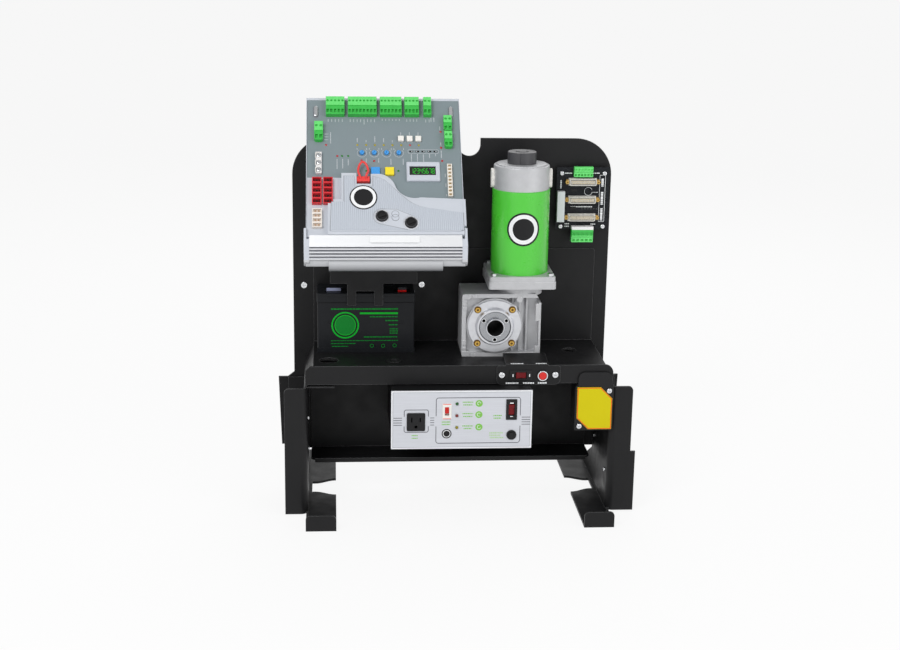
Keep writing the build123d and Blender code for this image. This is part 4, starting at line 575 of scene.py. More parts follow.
def sink_look():
    """The extruded heat sink: a bright brushed band above, and ribs below, with painted shade in the grooves between
    them and a band of painted shade on each rib.
    """
    look = Look("sink_aluminium")
    brushing = look.noise(5200.0, 2.0, (0.004, 1, 1))
    skin = look.blend(brushing, *spread((0.80, 0.81, 0.83), 0.03))
    low = SINK_RIBS[0]
    pitch = (SINK_RIBS[1] - low) / 4
    turns = look.math("DIVIDE", look.math("SUBTRACT", look.axis(2), low * MM), pitch * MM)
    share = look.math("FRACT", turns)
    # painted shade in the grooves between the ribs
    groove = look.both(look.math("GREATER_THAN", share, 0.60), look.math("LESS_THAN", share, 1.0))
    below = look.math("LESS_THAN", look.axis(2), SINK_RIBS[1] * MM)
    # painted shade: a mid-tone band on each rib
    step = look.math("GREATER_THAN", look.math("FRACT", look.math("MULTIPLY", turns, 2.0)), 0.72)
    colour = look.blend(look.both(step, below), skin, (0.50, 0.51, 0.55))
    colour = look.blend(look.both(groove, below), colour, (0.17, 0.175, 0.20))
    look.colour(colour)
    look.gloss(0.30, 0.44, 500.0)
    look.relief(brushing, 0.02, 0.00005, 0.3)
    look.set(Metallic=0.45)
    return look.material


def socket_look():
    """Red, white and tan sockets, told apart by where they are."""
    look = Look("socket_plastic")
    left = look.math("LESS_THAN", look.axis(0), -190.0 * MM)
    white = look.both(look.math("LESS_THAN", look.axis(2), 482.5 * MM), left)
    pale = look.both(look.above(2, 522.3), left)
    tan = look.above(0, -60.0)
    colour = look.blend(white, (0.62, 0.02, 0.03), (0.78, 0.72, 0.66))
    colour = look.blend(pale, colour, (0.74, 0.73, 0.74))
    colour = look.blend(tan, colour, (0.80, 0.74, 0.66))
    look.colour(colour)
    look.gloss(0.3, 0.42, 200.0)
    look.relief(look.noise(1200.0, 2.0), 0.1, 0.0001, 0.3)
    return look.material


def terminal_look():
    """Green terminal plugs: pale headers, darker plugs, and the white stripe of the lowest one."""
    look = Look("green_plastic")
    right = look.above(0, 150.0)
    stripe = look.both(right, look.between(2, 424.2, 430.9))
    ends = look.math("MAXIMUM", look.above(0, -22.0), look.math("LESS_THAN", look.axis(0), -203.0 * MM))
    deep = look.blend(look.noise(160.0), (0.03, 0.40, 0.05), (0.05, 0.52, 0.08))
    pale = look.blend(look.noise(160.0), (0.10, 0.62, 0.13), (0.16, 0.74, 0.19))
    raised = look.math("MAXIMUM", look.over_face(9.2), look.both(ends, look.over_face(8.2)))
    on_board = look.math("MAXIMUM", look.above(2, 480.0), look.math("LESS_THAN", look.axis(2), 415.0 * MM))
    high = look.blend(right, raised, on_board)
    colour = look.blend(high, deep, pale)
    look.colour(look.blend(stripe, colour, (0.82, 0.80, 0.82)))
    look.gloss(0.3, 0.42, 200.0)
    look.relief(look.noise(1200.0, 2.0), 0.1, 0.0001, 0.3)
    return look.material


def connector_look():
    """The wide plugs: pale shells, with brass jack screws on dark ears beside them."""
    look = Look("tinned_connector")
    off = look.math("ABSOLUTE", look.math("SUBTRACT", look.axis(0), 199.0 * MM))
    ear = look.math("GREATER_THAN", off, 21.8 * MM)
    rows = look.math("FRACT", look.math("DIVIDE", look.math("SUBTRACT", look.axis(2), 428.5 * MM), 28.0 * MM))
    level = look.math("ABSOLUTE", look.math("SUBTRACT", rows, 0.5))
    screw = look.math("LESS_THAN", level, 0.12)
    shell = look.blend(look.noise(200.0), (0.62, 0.60, 0.56), (0.74, 0.72, 0.68))
    inner = look.both(look.math("LESS_THAN", level, 0.1), look.math("LESS_THAN", off, 19.5 * MM))
    shell = look.blend(inner, shell, (0.52, 0.49, 0.43))
    jack = look.blend(screw, (0.02, 0.018, 0.014), (0.62, 0.40, 0.11))
    look.colour(look.blend(ear, shell, jack))
    look.gloss(0.24, 0.38, 300.0)
    look.relief(look.noise(900.0, 2.0), 0.08, 0.0001, 0.3)
    look.set(Metallic=0.3)
    return look.material


def battery_terminal_look():
    """The tinned blade on the left and the red boot on the right, each dark above."""
    look = Look("terminal_metal")
    right = look.above(0, -90.0)
    blade = look.both(look.math("SUBTRACT", 1.0, right), look.between(2, 334.0, 339.0))
    boot = look.both(right, look.math("LESS_THAN", look.axis(2), 336.0 * MM))
    colour = look.blend(blade, (0.012, 0.012, 0.015), (0.33, 0.36, 0.52))
    look.colour(look.blend(boot, colour, (0.70, 0.008, 0.008)))
    look.gloss(0.3, 0.45, 300.0)
    look.relief(look.noise(900.0, 2.0), 0.08, 0.0001, 0.3)
    look.set(Specular_IOR_Level=0.3)
    return look.material


def board_look(name, dark, light, header=None):
    """A circuit board: tracks seen through the solder mask, and a pale header given as x, y and z limits."""
    look = Look(name)
    tracks = look.noise(260.0, 1.0, (1, 1, 5))
    edge = look.math("GREATER_THAN", tracks, 0.53)
    colour = look.blend(edge, dark, light)
    if header:
        right, front, low, high = header
        inside = look.both(look.math("LESS_THAN", look.axis(0), right * MM),
                           look.math("LESS_THAN", look.axis(1), front * MM))
        colour = look.blend(look.both(inside, look.between(2, low, high)), colour, (0.72, 0.74, 0.77))
    look.colour(colour)
    look.gloss(0.24, 0.38, 150.0)
    look.relief(tracks, 0.1, 0.00005)
    look.set(Specular_IOR_Level=0.18)
    return look.material


GEAR_AXIS = (57.5, 289.5)
BORE_SHADE_RADIUS = 12.75                    # radius inside which the hub's bore is painted dark as shade
HUB_HOLES = [(GEAR_AXIS[0] + 20.0 * math.cos(math.radians(turn)), GEAR_AXIS[1] + 20.0 * math.sin(math.radians(turn)))
             for turn in (30, 150, 270)]
# painted shade in the bore and the three tapped holes, as centres and radii
HUB_HOLE_SHADE = [(*GEAR_AXIS, BORE_SHADE_RADIUS)] + [(x, z, 2.6) for x, z in HUB_HOLES]
LOOKS = {
    "black_steel": painted("black_steel", BLACK, rough=0.46, specular=0.26, edge_highlight=EDGE_HIGHLIGHT_BLACK),
    "zinc": metal("zinc", (0.74, 0.75, 0.77), rough=0.22),
    "silver_panel": metal("silver_panel", (0.60, 0.615, 0.66), rough=0.42, stretch=(0.02, 1, 1), scale=1500.0,
                          depth=0.05, vary=0.10, metallic=0.25),
    "black_plastic": plastic("black_plastic", (0.011, 0.011, 0.012), specular=0.25),
    "white_plastic": plastic("white_plastic", (0.80, 0.78, 0.74)),
    "red_plastic": plastic("red_plastic", (0.62, 0.02, 0.015), rough=0.28),
    "dark_red_plastic": plastic("dark_red_plastic", (0.155, 0.002, 0.005), rough=0.3, specular=0.25),
    "lamp_lens": lamp("lamp_lens", (0.1, 0.35, 0.1)),
    "yellow_plate": painted("yellow_plate", (0.60, 0.52, 0.001), rough=0.4, peel=1500.0, depth=0.05, vary=0.03,
                            specular=0.2),
    "battery_case": plastic("battery_case", (0.008, 0.009, 0.011), rough=0.36, specular=0.2),
    "terminal_metal": battery_terminal_look(),
    "cast_aluminium": cast("cast_aluminium", (0.50, 0.505, 0.52)),
    "machined_aluminium": turned("machined_aluminium", (0.66, 0.67, 0.70), 1, GEAR_AXIS, rough=0.34, metallic=0.85),
    "brass_bolts": metal("brass_bolts", (0.60, 0.38, 0.09), rough=0.2),
    "bearing_steel": metal("bearing_steel", (0.6, 0.6, 0.6)),
    "hub_steel": turned("hub_steel", (0.36, 0.37, 0.39), 1, GEAR_AXIS, rough=0.2, dark=HUB_HOLE_SHADE),
    "bronze": metal("bronze", (0.62, 0.42, 0.2)),
    "green_paint": painted("green_paint", (0.07, 0.54, 0.035), rough=0.3, coat=0.35, vary=0.015, peel=260.0,
                           depth=0.03),
    "dark_cap": plastic("dark_cap", (0.055, 0.055, 0.06), rough=0.34),
    "magnet": plastic("magnet", (0.1, 0.1, 0.11)),
    "rotor_steel": metal("rotor_steel", (0.35, 0.25, 0.18)),
    "light_grey_plastic": housing_look(),
    "blue_grey_plastic": faceplate_look(),
    "circuit_board": board_look("circuit_board", (0.01, 0.07, 0.03), (0.03, 0.16, 0.07)),
    "black_board": board_look("black_board", (0.006, 0.007, 0.009), (0.014, 0.016, 0.02),
                              (171.4, 16.9, 436.0, 486.0)),
    "sink_aluminium": sink_look(),
    "socket_plastic": socket_look(),
    "green_plastic": terminal_look(),
    "red_wire": plastic("red_wire", (0.75, 0.06, 0.055), rough=0.32, edge=0.0),
    "display_frame": plastic("display_frame", (0.53, 0.56, 0.62), rough=0.35),
    "tinned_connector": connector_look(),
    "blue_plastic": plastic("blue_plastic", (0.06, 0.32, 0.74), rough=0.25),
    "yellow_plastic": plastic("yellow_plastic", (0.86, 0.70, 0.03), rough=0.3),
}
WHITE_INK = ink("white_ink", SILK_WHITE)
BLACK_INK = ink("black_ink", (0.012, 0.012, 0.013))
GREEN_INK = ink("green_ink", (0.21, 0.50, 0.09))
PALE_GREEN_INK = ink("pale_green_ink", (0.42, 0.60, 0.34))
LEAF_INK = ink("leaf_ink", (0.001, 0.40, 0.02))
DARK_GREEN_INK = ink("dark_green_ink", (0.001, 0.19, 0.02))
GREY_INK = ink("grey_ink", (0.20, 0.21, 0.23))
GROOVE_INK = ink("groove_ink", (0.30, 0.315, 0.34))
LINE_INK = ink("line_ink", (0.12, 0.125, 0.14))
RIM_INK = ink("rim_ink", (0.80, 0.81, 0.83))
LEGEND_INK = ink("legend_ink", (0.50, 0.53, 0.56))
PALE_INK = ink("pale_ink", (0.47, 0.50, 0.52))
ORANGE_INK = ink("orange_ink", (0.80, 0.05, 0.02))
PAPER = ink("paper_label", (0.8, 0.81, 0.82), 0.6)
HOLE = plastic("hole_shadow", (0.004, 0.004, 0.004), rough=0.8)
TAN = plastic("tan_contacts", (0.46, 0.30, 0.20))
BRASS_PIN = metal("brass_pin", (0.78, 0.58, 0.25), rough=0.25)
BRIGHT_STEEL = metal("bright_steel", (0.75, 0.76, 0.78), rough=0.2)
BOLT_SHADE = metal("bolt_shade", (0.16, 0.09, 0.03), rough=0.3)
# painted shade in the bore, inside the collar
COLLAR_STEEL = turned("collar_steel", (0.62, 0.63, 0.66), 1, GEAR_AXIS, rough=0.2, dark=[(*GEAR_AXIS, BORE_SHADE_RADIUS)])
LAMP_RED = lamp("lamp_red", (0.42, 0.003, 0.006))
LAMP_YELLOW = lamp("lamp_yellow", (0.36, 0.29, 0.008))
LAMP_GREEN = lamp("lamp_green", (0.006, 0.17, 0.012))
DEEP_RED = lamp("deep_red", (0.17, 0.002, 0.004))
DEEP_GREEN = lamp("deep_green", (0.002, 0.07, 0.006))
DEEP_AMBER = lamp("deep_amber", (0.20, 0.165, 0.003))


def dress_nodes():
    """Gives every CAD node the finish of its material slot."""
    wanted = {entry["node"]: entry["material_slot"] for entry in frame["record"]["subparts"]}
    for name, shown in frame["nodes"].items():
        look = LOOKS[wanted[name]]
        for material_slot in shown.material_slots:
            material_slot.link = "OBJECT"
            material_slot.material = look


# Controller face

LED_V = 172.3
LED_FIRST = -39.8
LED_PITCH = 13.14
LED_RADIUS = 1.7
RED_LEDS = ((39.04, 172.3), (-33.9, 145.4), (-15.0, 144.5), (-69.8, 153.0), (-86.4, 172.0),
            (85.8, 196.4), (85.7, 168.1), (86.6, 145.0))
GREEN_LEDS = ((-62.7, 153.0), (-53.6, 153.0), (-26.8, 127.0), (20.7, 127.4))
DIP_FIRST = 40.6
DIP_PITCH = 9.07
DIP_V = 161.4
TRIMMER_FIRST = -33.1
TRIMMER_PITCH = 18.35
TRIMMER_V = 158.3
TOP_PLUGS = ((-72.6, 28.0), (-31.8, 43.3), (11.2, 32.7), (42.9, 21.7), (66.6, 11.9))
ROUNDEL = (-32.0, 77.0)
TWIN_WINDOW = ((14.2, 49.0), (14.2, 43.0))
KNOBS = ((-5.4, 45.0), (36.9, 34.0))
POSTS = ((-101.6, 231.0), (102.5, 231.0))
CLAMP_SCREWS = (126.5, 139.0, 151.5)
FIELD_TOP = COVER_TOP + 0.3


def status_lamps():
    """The small lamps on the controller, by colour."""
    spots = {
        "status_lamps_yellow": ([(LED_FIRST + LED_PITCH * i, LED_V) for i in (0, 1, 2, 3, 4, 5, 7)], LAMP_YELLOW),
        "status_lamps_red": (RED_LEDS, LAMP_RED),
        "status_lamps_green": (GREEN_LEDS, LAMP_GREEN),
    }
    for name, (places, look) in spots.items():
        def build(bm, places=places):
            for u, v in places:
                dome(bm, u, v, LED_RADIUS, PLATE_TOP - 0.2, 1.3, 16, 4)
        piece(name, build, on_face(), look, smooth=True)


def selector_switches():
    """The row of five small slide switches in their printed frame."""
    last = DIP_FIRST + 4 * DIP_PITCH
    middle = (DIP_FIRST + last) / 2

    def frame_print(bm):
        outer = rounded(middle, DIP_V, last - DIP_FIRST + 10.2, 7.0, 2.6, 8)
        inner = rounded(middle, DIP_V, last - DIP_FIRST + 9.3, 6.1, 2.2, 8)
        band(bm, outer, inner, PLATE_TOP - 0.1, PLATE_TOP + FILM)

    def windows(bm):
        for i in range(5):
            plate(bm, DIP_FIRST + i * DIP_PITCH, DIP_V, 5.6, 2.6, PLATE_TOP - 0.1, PLATE_TOP + 0.2, 0.3)

    def sliders(bm):
        for i in range(5):
            side = -1.1 if i % 2 else 1.0
            plate(bm, DIP_FIRST + i * DIP_PITCH + side, DIP_V, 1.8, 1.5, PLATE_TOP, PLATE_TOP + 0.6, 0.2)

    piece("slide_switch_frame", frame_print, on_face(), LEGEND_INK)
    piece("slide_switch_windows", windows, on_face(), HOLE)
    piece("slide_switch_sliders", sliders, on_face(), PALE_INK, edge=0.15)


def trimmer_marks():
    """A printed open ring round each trimmer, with a tick at each end."""
    def build(bm):
        for i in range(4):
            u = TRIMMER_FIRST + TRIMMER_PITCH * i
            ring(bm, u, TRIMMER_V, 6.6, 7.15, PLATE_TOP - 0.1, PLATE_TOP + FILM, 130, 410, 40)
            for side in (-1, 1):
                plate(bm, u + side * 7.2, TRIMMER_V + 7.2, 0.8, 3.2, PLATE_TOP - 0.1, PLATE_TOP + FILM)
    piece("trimmer_rings", build, on_face(), LEGEND_INK)


def face_legends():
    """Bare dashes where the controller has printed legends."""
    def bar(bm, u, low, high, width=1.2):
        dashes(bm, low, high, u, width, PLATE_TOP + FILM, 1.5, 0.45, upwards=True)

    def build(bm):
        for u, width in TOP_PLUGS:
            ways = max(2, round(width / 5.6))
            for way in range(ways):
                place = u + (way - (ways - 1) / 2) * width / (ways + 0.3)
                bar(bm, place, 215.6 - 1.2 * ((way * 3 + ways) % 3) - 4.0 * (way == 4 and ways == 8), 218.8, 1.1)
        for i in range(8):
            u = LED_FIRST + LED_PITCH * i
            if i not in (5, 6, 7):
                bar(bm, u, 177.5, 181.0 + 3.5 * ((i * 2 + 1) % 3))
        for i in range(4):
            u = TRIMMER_FIRST + TRIMMER_PITCH * i
            bar(bm, u + 6.3, 142.0 - 4 * (i > 1), 148.8)
        for i in range(5):
            bar(bm, DIP_FIRST + DIP_PITCH * i, (144.0, 144.0, 142.0, 150.0, 153.5)[i], 156.6)
        for i in range(3):
            bar(bm, 25.5 + 13.1 * i, 190.0, 195.0)
        for u, low, high in ((-79.7, 175.0, 195.0), (-70.2, 130.5, 148.0), (-61.9, 131.5, 148.0),
                             (-53.6, 137.0, 148.0), (85.6, 150.0, 163.5), (85.4, 172.0, 178.0),
                             (84.8, 200.0, 206.0), (72.0, 214.0, 222.0), (76.5, 214.0, 222.0),
                             (91.0, 84.0, 88.0), (90.7, 100.0, 106.0), (90.3, 117.0, 123.0)):
            bar(bm, u, low, high)
        for k in range(3):
            dashes(bm, -89.7, -83.2, 191.5 - 5.0 * k, 1.0, PLATE_TOP + FILM, 1.5, 0.45)
    piece("face_legend_bars", build, on_face(), LEGEND_INK)


def cover_field():
    """The ribbed field of the cover, in a shallow groove drawn as a dark band of painted shade, with a smooth rim
    round it.
    """
    outline = [(-81.0, 22.0), (114.0, 22.0), (114.0, 51.8), (98.0, 54.0), (81.3, 57.0), (63.0, 59.6),
               (49.6, 63.0), (41.0, 67.0), (34.0, 72.0), (22.0, 83.5), (10.3, 96.0), (5.5, 101.5),
               (0.1, 106.5), (-8.0, 111.0), (-17.8, 113.5), (-17.8, 96.5), (-45.2, 96.5), (-45.2, 114.0),
               (-60.5, 114.0), (-60.5, 69.8), (-79.0, 69.8)]
    middle = Vector((10.0, 60.0))

    def grown(point, step):
        away = (Vector(point) - middle).normalized()
        return (point[0] + away.x * step, point[1] + away.y * step)

    def field(bm):
        prism(bm, [grown(p, -0.6) for p in outline], COVER_TOP - 0.3, FIELD_TOP)

    def groove(bm):
        prism(bm, [grown(p, 0.2) for p in outline], COVER_TOP - 0.4, COVER_TOP + 0.05)

    piece("cover_ribbed_field", field, on_face(), ribbed_look())
    # painted shade: a dark band round the field where it sits in its groove
    piece("cover_field_groove", groove, on_face(), GROOVE_INK)


def cover_marks():
    """The plain roundel, the smooth island round the knobs and the twin window."""
    def outer(bm):
        disc(bm, *ROUNDEL, 20.4, COVER_TOP, FIELD_TOP + 0.5, 64)

    def white(bm):
        disc(bm, *ROUNDEL, 18.6, FIELD_TOP + 0.2, FIELD_TOP + 0.75, 64)

    def inner(bm):
        disc(bm, *ROUNDEL, 14.0, FIELD_TOP + 0.4, FIELD_TOP + 1.0, 64)

    def island(bm):
        points = hull(circle_points(*KNOBS[0], 12.4) + circle_points(*KNOBS[1], 11.6)
                      + circle_points(*TWIN_WINDOW[0], 7.6))
        prism(bm, points, COVER_TOP, FIELD_TOP + 0.2)

    def island_edge(bm):
        shapes = [hull(circle_points(*KNOBS[0], 12.4 + step) + circle_points(*KNOBS[1], 11.6 + step)
                       + circle_points(*TWIN_WINDOW[0], 7.6 + step)) for step in (0.0, 0.7)]
        if len(shapes[0]) == len(shapes[1]):
            band(bm, shapes[1], shapes[0], COVER_TOP, FIELD_TOP + 0.08)

    def halos(bm):
        for x, y in KNOBS:
            ring(bm, x, y, 9.9, 10.9, FIELD_TOP, FIELD_TOP + 0.3, steps=48)

    def lenses(bm):
        prism(bm, hull(circle_points(*TWIN_WINDOW[0], 5.4) + circle_points(*TWIN_WINDOW[1], 5.4)),
              FIELD_TOP, FIELD_TOP + 0.45)

    def rims(bm):
        for x, y in TWIN_WINDOW:
            ring(bm, x, y, 5.0, 5.6, FIELD_TOP, FIELD_TOP + 0.55, steps=40)

    piece("cover_roundel_rim", outer, on_face(), BLACK_INK, edge=0.2)
    piece("cover_roundel_ring", white, on_face(), PAPER, edge=0.2)
    piece("cover_roundel_middle", inner, on_face(), BLACK_INK, edge=0.2)
    piece("cover_knob_island", island, on_face(), LOOKS["light_grey_plastic"], edge=0.1)
    piece("cover_knob_halos", halos, on_face(), RIM_INK)
    # painted shade: a dark band round the foot of the knob island
    piece("cover_island_edge", island_edge, on_face(), GROOVE_INK)
    piece("cover_window_lenses", lenses, on_face(), LOOKS["display_frame"], edge=0.1)
    piece("cover_window_rims", rims, on_face(), GREY_INK, edge=0.1)


def knob_marks():
    """A raised rim on each cover knob, which turns with it."""
    for index, (x, y) in enumerate(KNOBS):
        def rim(bm, x=x, y=y):
            ring(bm, x, y, 7.2, 8.3, 10.5, 11.9, steps=40)
        piece(f"cover_knob_rim_{index + 1}", rim, on_face(), LOOKS["dark_cap"],
              f"cover_knob_{index + 1}_body", edge=0.2)


def display_glass():
    """The display's dark glass with one row of generic figures."""
    u, v = 56.6, 125.7
    width, height = 39.0, 15.1
    top = 2.9
    wide, tall, stroke = 3.0, 8.4, 0.62
    bars = {"a": (0, 1, 1), "b": (1, 0.5, 0), "c": (1, -0.5, 0), "d": (0, -1, 1), "e": (-1, -0.5, 0),
            "f": (-1, 0.5, 0), "g": (0, 0, 1)}
    figures = ("bc", "abged", "abgcd", "fgbc", "afgcd", "afgedc", "abc", "abcdefg")

    def glass(bm):
        plate(bm, u, v, width, height, 2.4, top, 0.4)

    def cells(bm):
        pitch = (width - 3.0) / len(figures)
        for place, lit in enumerate(figures):
            x = u + (place - (len(figures) - 1) / 2) * pitch
            for bar in lit:
                side, level, flat = bars[bar]
                size = (wide - stroke, stroke) if flat else (stroke, tall / 2 - stroke)
                plate(bm, x + side * wide / 2, v + level * tall / 2, *size, top - 0.1, top + 0.06, 0.1)

    piece("display_glass", glass, on_face(), lamp("display_glass", (0.003, 0.008, 0.003)))
    piece("display_figures", cells, on_face(), lamp("display_figures", (0.01, 0.45, 0.01), 0.55))


def face_hardware():
    """The bright posts at the top corners with a painted shadow below each, and the clamp screws of the left
    terminal with painted shade round them.
    """
    def posts(bm):
        for u, v in POSTS:
            prism(bm, rounded(u, v, 5.6, 18.0, 2.7, 8), PLATE_TOP - 0.2, PLATE_TOP + 3.0)

    def post_shadows(bm):
        # painted shadow: a dark outline round each post, wider below it
        for u, v in POSTS:
            prism(bm, rounded(u, v - 1.0, 8.0, 21.0, 3.9, 8), PLATE_TOP - 0.1, PLATE_TOP + FILM)

    def clamps(bm):
        for v in CLAMP_SCREWS:
            plate(bm, -98.0, v, 9.2, 10.6, 4.5, 5.0, 1.4)

    def screws(bm):
        for v in CLAMP_SCREWS:
            dome(bm, -97.4, v, 3.3, 4.9, 1.0, 24, 4)

    # painted shade: a dark ring in the well round each clamp screw and a dark bar for its slot
    def wells(bm):
        for v in CLAMP_SCREWS:
            ring(bm, -97.4, v, 3.3, 3.9, 4.9, 5.15, steps=32)
            plate(bm, -97.4, v, 0.6, 4.2, 5.7, 6.0, 0.2)

    piece("corner_posts", posts, on_face(), BRIGHT_STEEL, edge=0.9)
    piece("corner_post_shadows", post_shadows, on_face(), GREY_INK)
    piece("clamp_screws", screws, on_face(), BRIGHT_STEEL, smooth=True)
    piece("clamp_blocks", clamps, on_face(), LOOKS["white_plastic"], edge=0.3)
    piece("clamp_screw_shades", wells, on_face(), GREY_INK)


def socket_contacts():
    """Dark mouths and small contacts in the wire sockets."""
    def mouths(bm):
        for u in (-100.2, -83.8):
            for row in range(5):
                plate(bm, u, 91.0 + (row - 2) * 8.9, 10.2, 5.2, 2.4, 2.75, 0.4)

    def contacts(bm):
        for u in (-100.2, -83.8):
            for row in range(5):
                for side in (-2.6, 2.6):
                    plate(bm, u + side, 91.0 + (row - 2) * 8.9, 2.6, 2.6, 2.6, 4.2, 0.4)

    def pale_contacts(bm):
        for row in range(4):
            for side in (-2.3, 2.3):
                plate(bm, -99.8 + side, 44.5 + (row - 1.5) * 7.75, 2.8, 3.6, 2.6, 4.0, 0.4)

    def header_pins(bm):
        for row in range(9):
            plate(bm, 96.8, 109.5 + (row - 4) * 6.17, 2.8, 2.4, 1.6, 3.2, 0.3)

    piece("red_socket_mouths", mouths, on_face(), HOLE)
    piece("red_socket_contacts", contacts, on_face(), LOOKS["dark_red_plastic"],
          edge=0.2)
    piece("pale_socket_contacts", pale_contacts, on_face(), TAN, edge=0.2)
    piece("header_pins", header_pins, on_face(), BRASS_PIN, edge=0.2)


def sink_label():
    """The bare label on the heat sink's sloping band."""
    def build(bm):
        plate(bm, 13.0, 8.6, 72.0, 11.5, -0.1, FILM + 0.05, 0.4)
    piece("sink_label", build, on_face(4.0 * math.cos(FACE_LEAN) + 4.0 * math.sin(FACE_LEAN)), PAPER)


# Power box, switches and warning plate

def panel_marks():
    """Bare outlines, stripes, dashes and discs printed on the silver panel."""
    place = on_front(PANEL_FRONT)

    def lines(bm):
        broken_outline(bm, -83.3, -46.9, 143.7, 179.0, 1.1, 3.0, (153.1, 168.5))
        broken_outline(bm, -35.3, 92.0, 125.8, 197.7, 1.1, 4.0, (152.7, 169.0))

    def rim(bm):
        band(bm, rounded(*PANEL_MIDDLE, 212.4, 91.4, 0.3), rounded(*PANEL_MIDDLE, 209.0, 88.0, 0.2), -0.1, FILM)

    def rim_line(bm):
        band(bm, rounded(*PANEL_MIDDLE, 207.9, 86.9, 0.2), rounded(*PANEL_MIDDLE, 207.1, 86.1, 0.2), -0.1, FILM)

    def stripes(bm):
        for x0, x1 in ((-99.5, -86.8), (-44.1, -38.1), (94.3, 107.0)):
            for k in range(4):
                plate(bm, (x0 + x1) / 2, 155.0 + 3.75 * k, x1 - x0, 1.0, -0.1, FILM, 0.1)

    def words(bm):
        for x, z, width in ((-67.3, 138.5, 9.0), (-67.3, 134.1, 9.0), (12.5, 190.7, 16.0), (12.5, 186.4, 14.0),
                            (12.5, 172.6, 16.0), (12.5, 168.2, 14.0), (12.5, 153.0, 16.0), (12.5, 148.8, 12.0),
                            (-20.1, 159.6, 13.0), (-20.1, 155.7, 13.0), (57.8, 169.1, 13.0), (57.1, 165.0, 11.0)):
            dashes(bm, x - width / 2, x + width / 2, z, 1.7)

    def pale_words(bm):
        for x, z, width in ((56.0, 141.6, 21.0), (54.0, 137.8, 17.0), (57.0, 134.0, 21.0)):
            dashes(bm, x - width / 2, x + width / 2, z, 2.1)

    def selector_lines(bm):
        for side in (-1, 1):
            plate(bm, SELECTOR[0], SELECTOR[1] + side * 11.4, 12.0, 0.9, 1.1, 1.2 + FILM, 0.2)

    def discs(bm):
        for x, z in GREEN_DISCS:
            disc(bm, x, z, 5.4, -0.1, FILM, 36)

    def symbols(bm):
        for index, (x, z) in enumerate(GREEN_DISCS):
            ring(bm, x, z, 2.2, 2.9, FILM - 0.05, FILM + 0.06, 40 * index, 40 * index + 260, 24)

    def black_disc(bm):
        disc(bm, -19.1, 141.0, 7.5, -0.1, FILM, 40)

    def black_disc_ring(bm):
        ring(bm, -19.1, 141.0, 4.8, 5.8, FILM - 0.05, FILM + 0.06, steps=36)

    def switch_ticks(bm):
        for side in (-1, 1):
            plate(bm, POWER_SWITCH[0], POWER_SWITCH[1] + side * 10.6, 4.8 + side * 0.6, 1.4 + side * 0.3,
                  BEZEL_PROUD - 0.1, BEZEL_PROUD + FILM, 0.3)

    piece("panel_rim", rim, place, RIM_INK)
    piece("panel_rim_line", rim_line, place, GROOVE_INK)
    piece("panel_outlines", lines, place, LINE_INK)
    piece("panel_stripes", stripes, place, LINE_INK)
    piece("panel_pale_bars", pale_words, place, PALE_GREEN_INK)
    piece("selector_lines", selector_lines, place, ORANGE_INK)
    piece("panel_legend_bars", words, place, GREEN_INK)
    piece("panel_green_discs", discs, place, GREEN_INK)
    piece("panel_disc_symbols", symbols, place, WHITE_INK)
    piece("panel_black_disc", black_disc, place, BLACK_INK)
    piece("panel_black_disc_ring", black_disc_ring, place, WHITE_INK)
    piece("power_switch_ticks", switch_ticks, place, WHITE_INK)


def panel_lamps():
    """Tinted caps over the three lamps, green, red and amber from the top."""
    low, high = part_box("panel_leds")
    x = (low.x + high.x) / 2 / MM
    front = low.y / MM
    for name, z, look in (("green", 188.4, DEEP_GREEN), ("red", 169.7, DEEP_RED), ("amber", 151.0, DEEP_AMBER)):
        def build(bm, z=z):
            dome(bm, x, z, 2.5, -0.6, 1.3, 24, 5)
        piece(f"panel_lamp_{name}", build, on_front(front), look, smooth=True)


def bracket_marks():
    """Bare white dashes about the release rocker and the reset button, and its bright ring."""
    def build(bm):
        for x0, x1 in ((71.7, 91.4), (98.0, 115.5), (120.7, 134.1)):
            dashes(bm, x0, x1, 212.3, 2.2, run=3.0, gap=0.6)

    def ticks(bm):
        for x in (82.3, 107.6):
            plate(bm, x, 224.7, 1.4, 4.5, BEZEL_PROUD - 0.1, BEZEL_PROUD + FILM, 0.3)

    def top_bars(bm):
        for x0, x1 in ((78.7, 98.7), (117.0, 133.3)):
            dashes(bm, x0, x1, 2.6, 3.0, run=3.0, gap=0.6)

    def chrome(bm):
        ring(bm, 127.6, 224.1, 6.2, 7.9, 1.6, 2.95, steps=56)

    piece("bracket_legend_bars", build, on_front(BRACKET_FRONT), WHITE_INK)
    piece("release_switch_ticks", ticks, on_front(BRACKET_FRONT), WHITE_INK)
    piece("bracket_top_bars", top_bars, on_bracket_top(), WHITE_INK)
    piece("reset_ring", chrome, on_front(BRACKET_FRONT), BRIGHT_STEEL, edge=0.3)


def warning_plate():
    """The orange border of the bare yellow plate."""
    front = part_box("junction_cover")[0].y / MM
    outline = [(199.5, 138.5), (235.5, 138.5), (235.5, 187.5), (217.5, 205.5), (181.5, 205.5), (181.5, 156.5)]

    def build(bm):
        band(bm, inset(outline, 0.5), inset(outline, 1.6), -0.1, FILM)
    piece("warning_plate_border", build, on_front(front), ORANGE_INK)


# Battery and drive

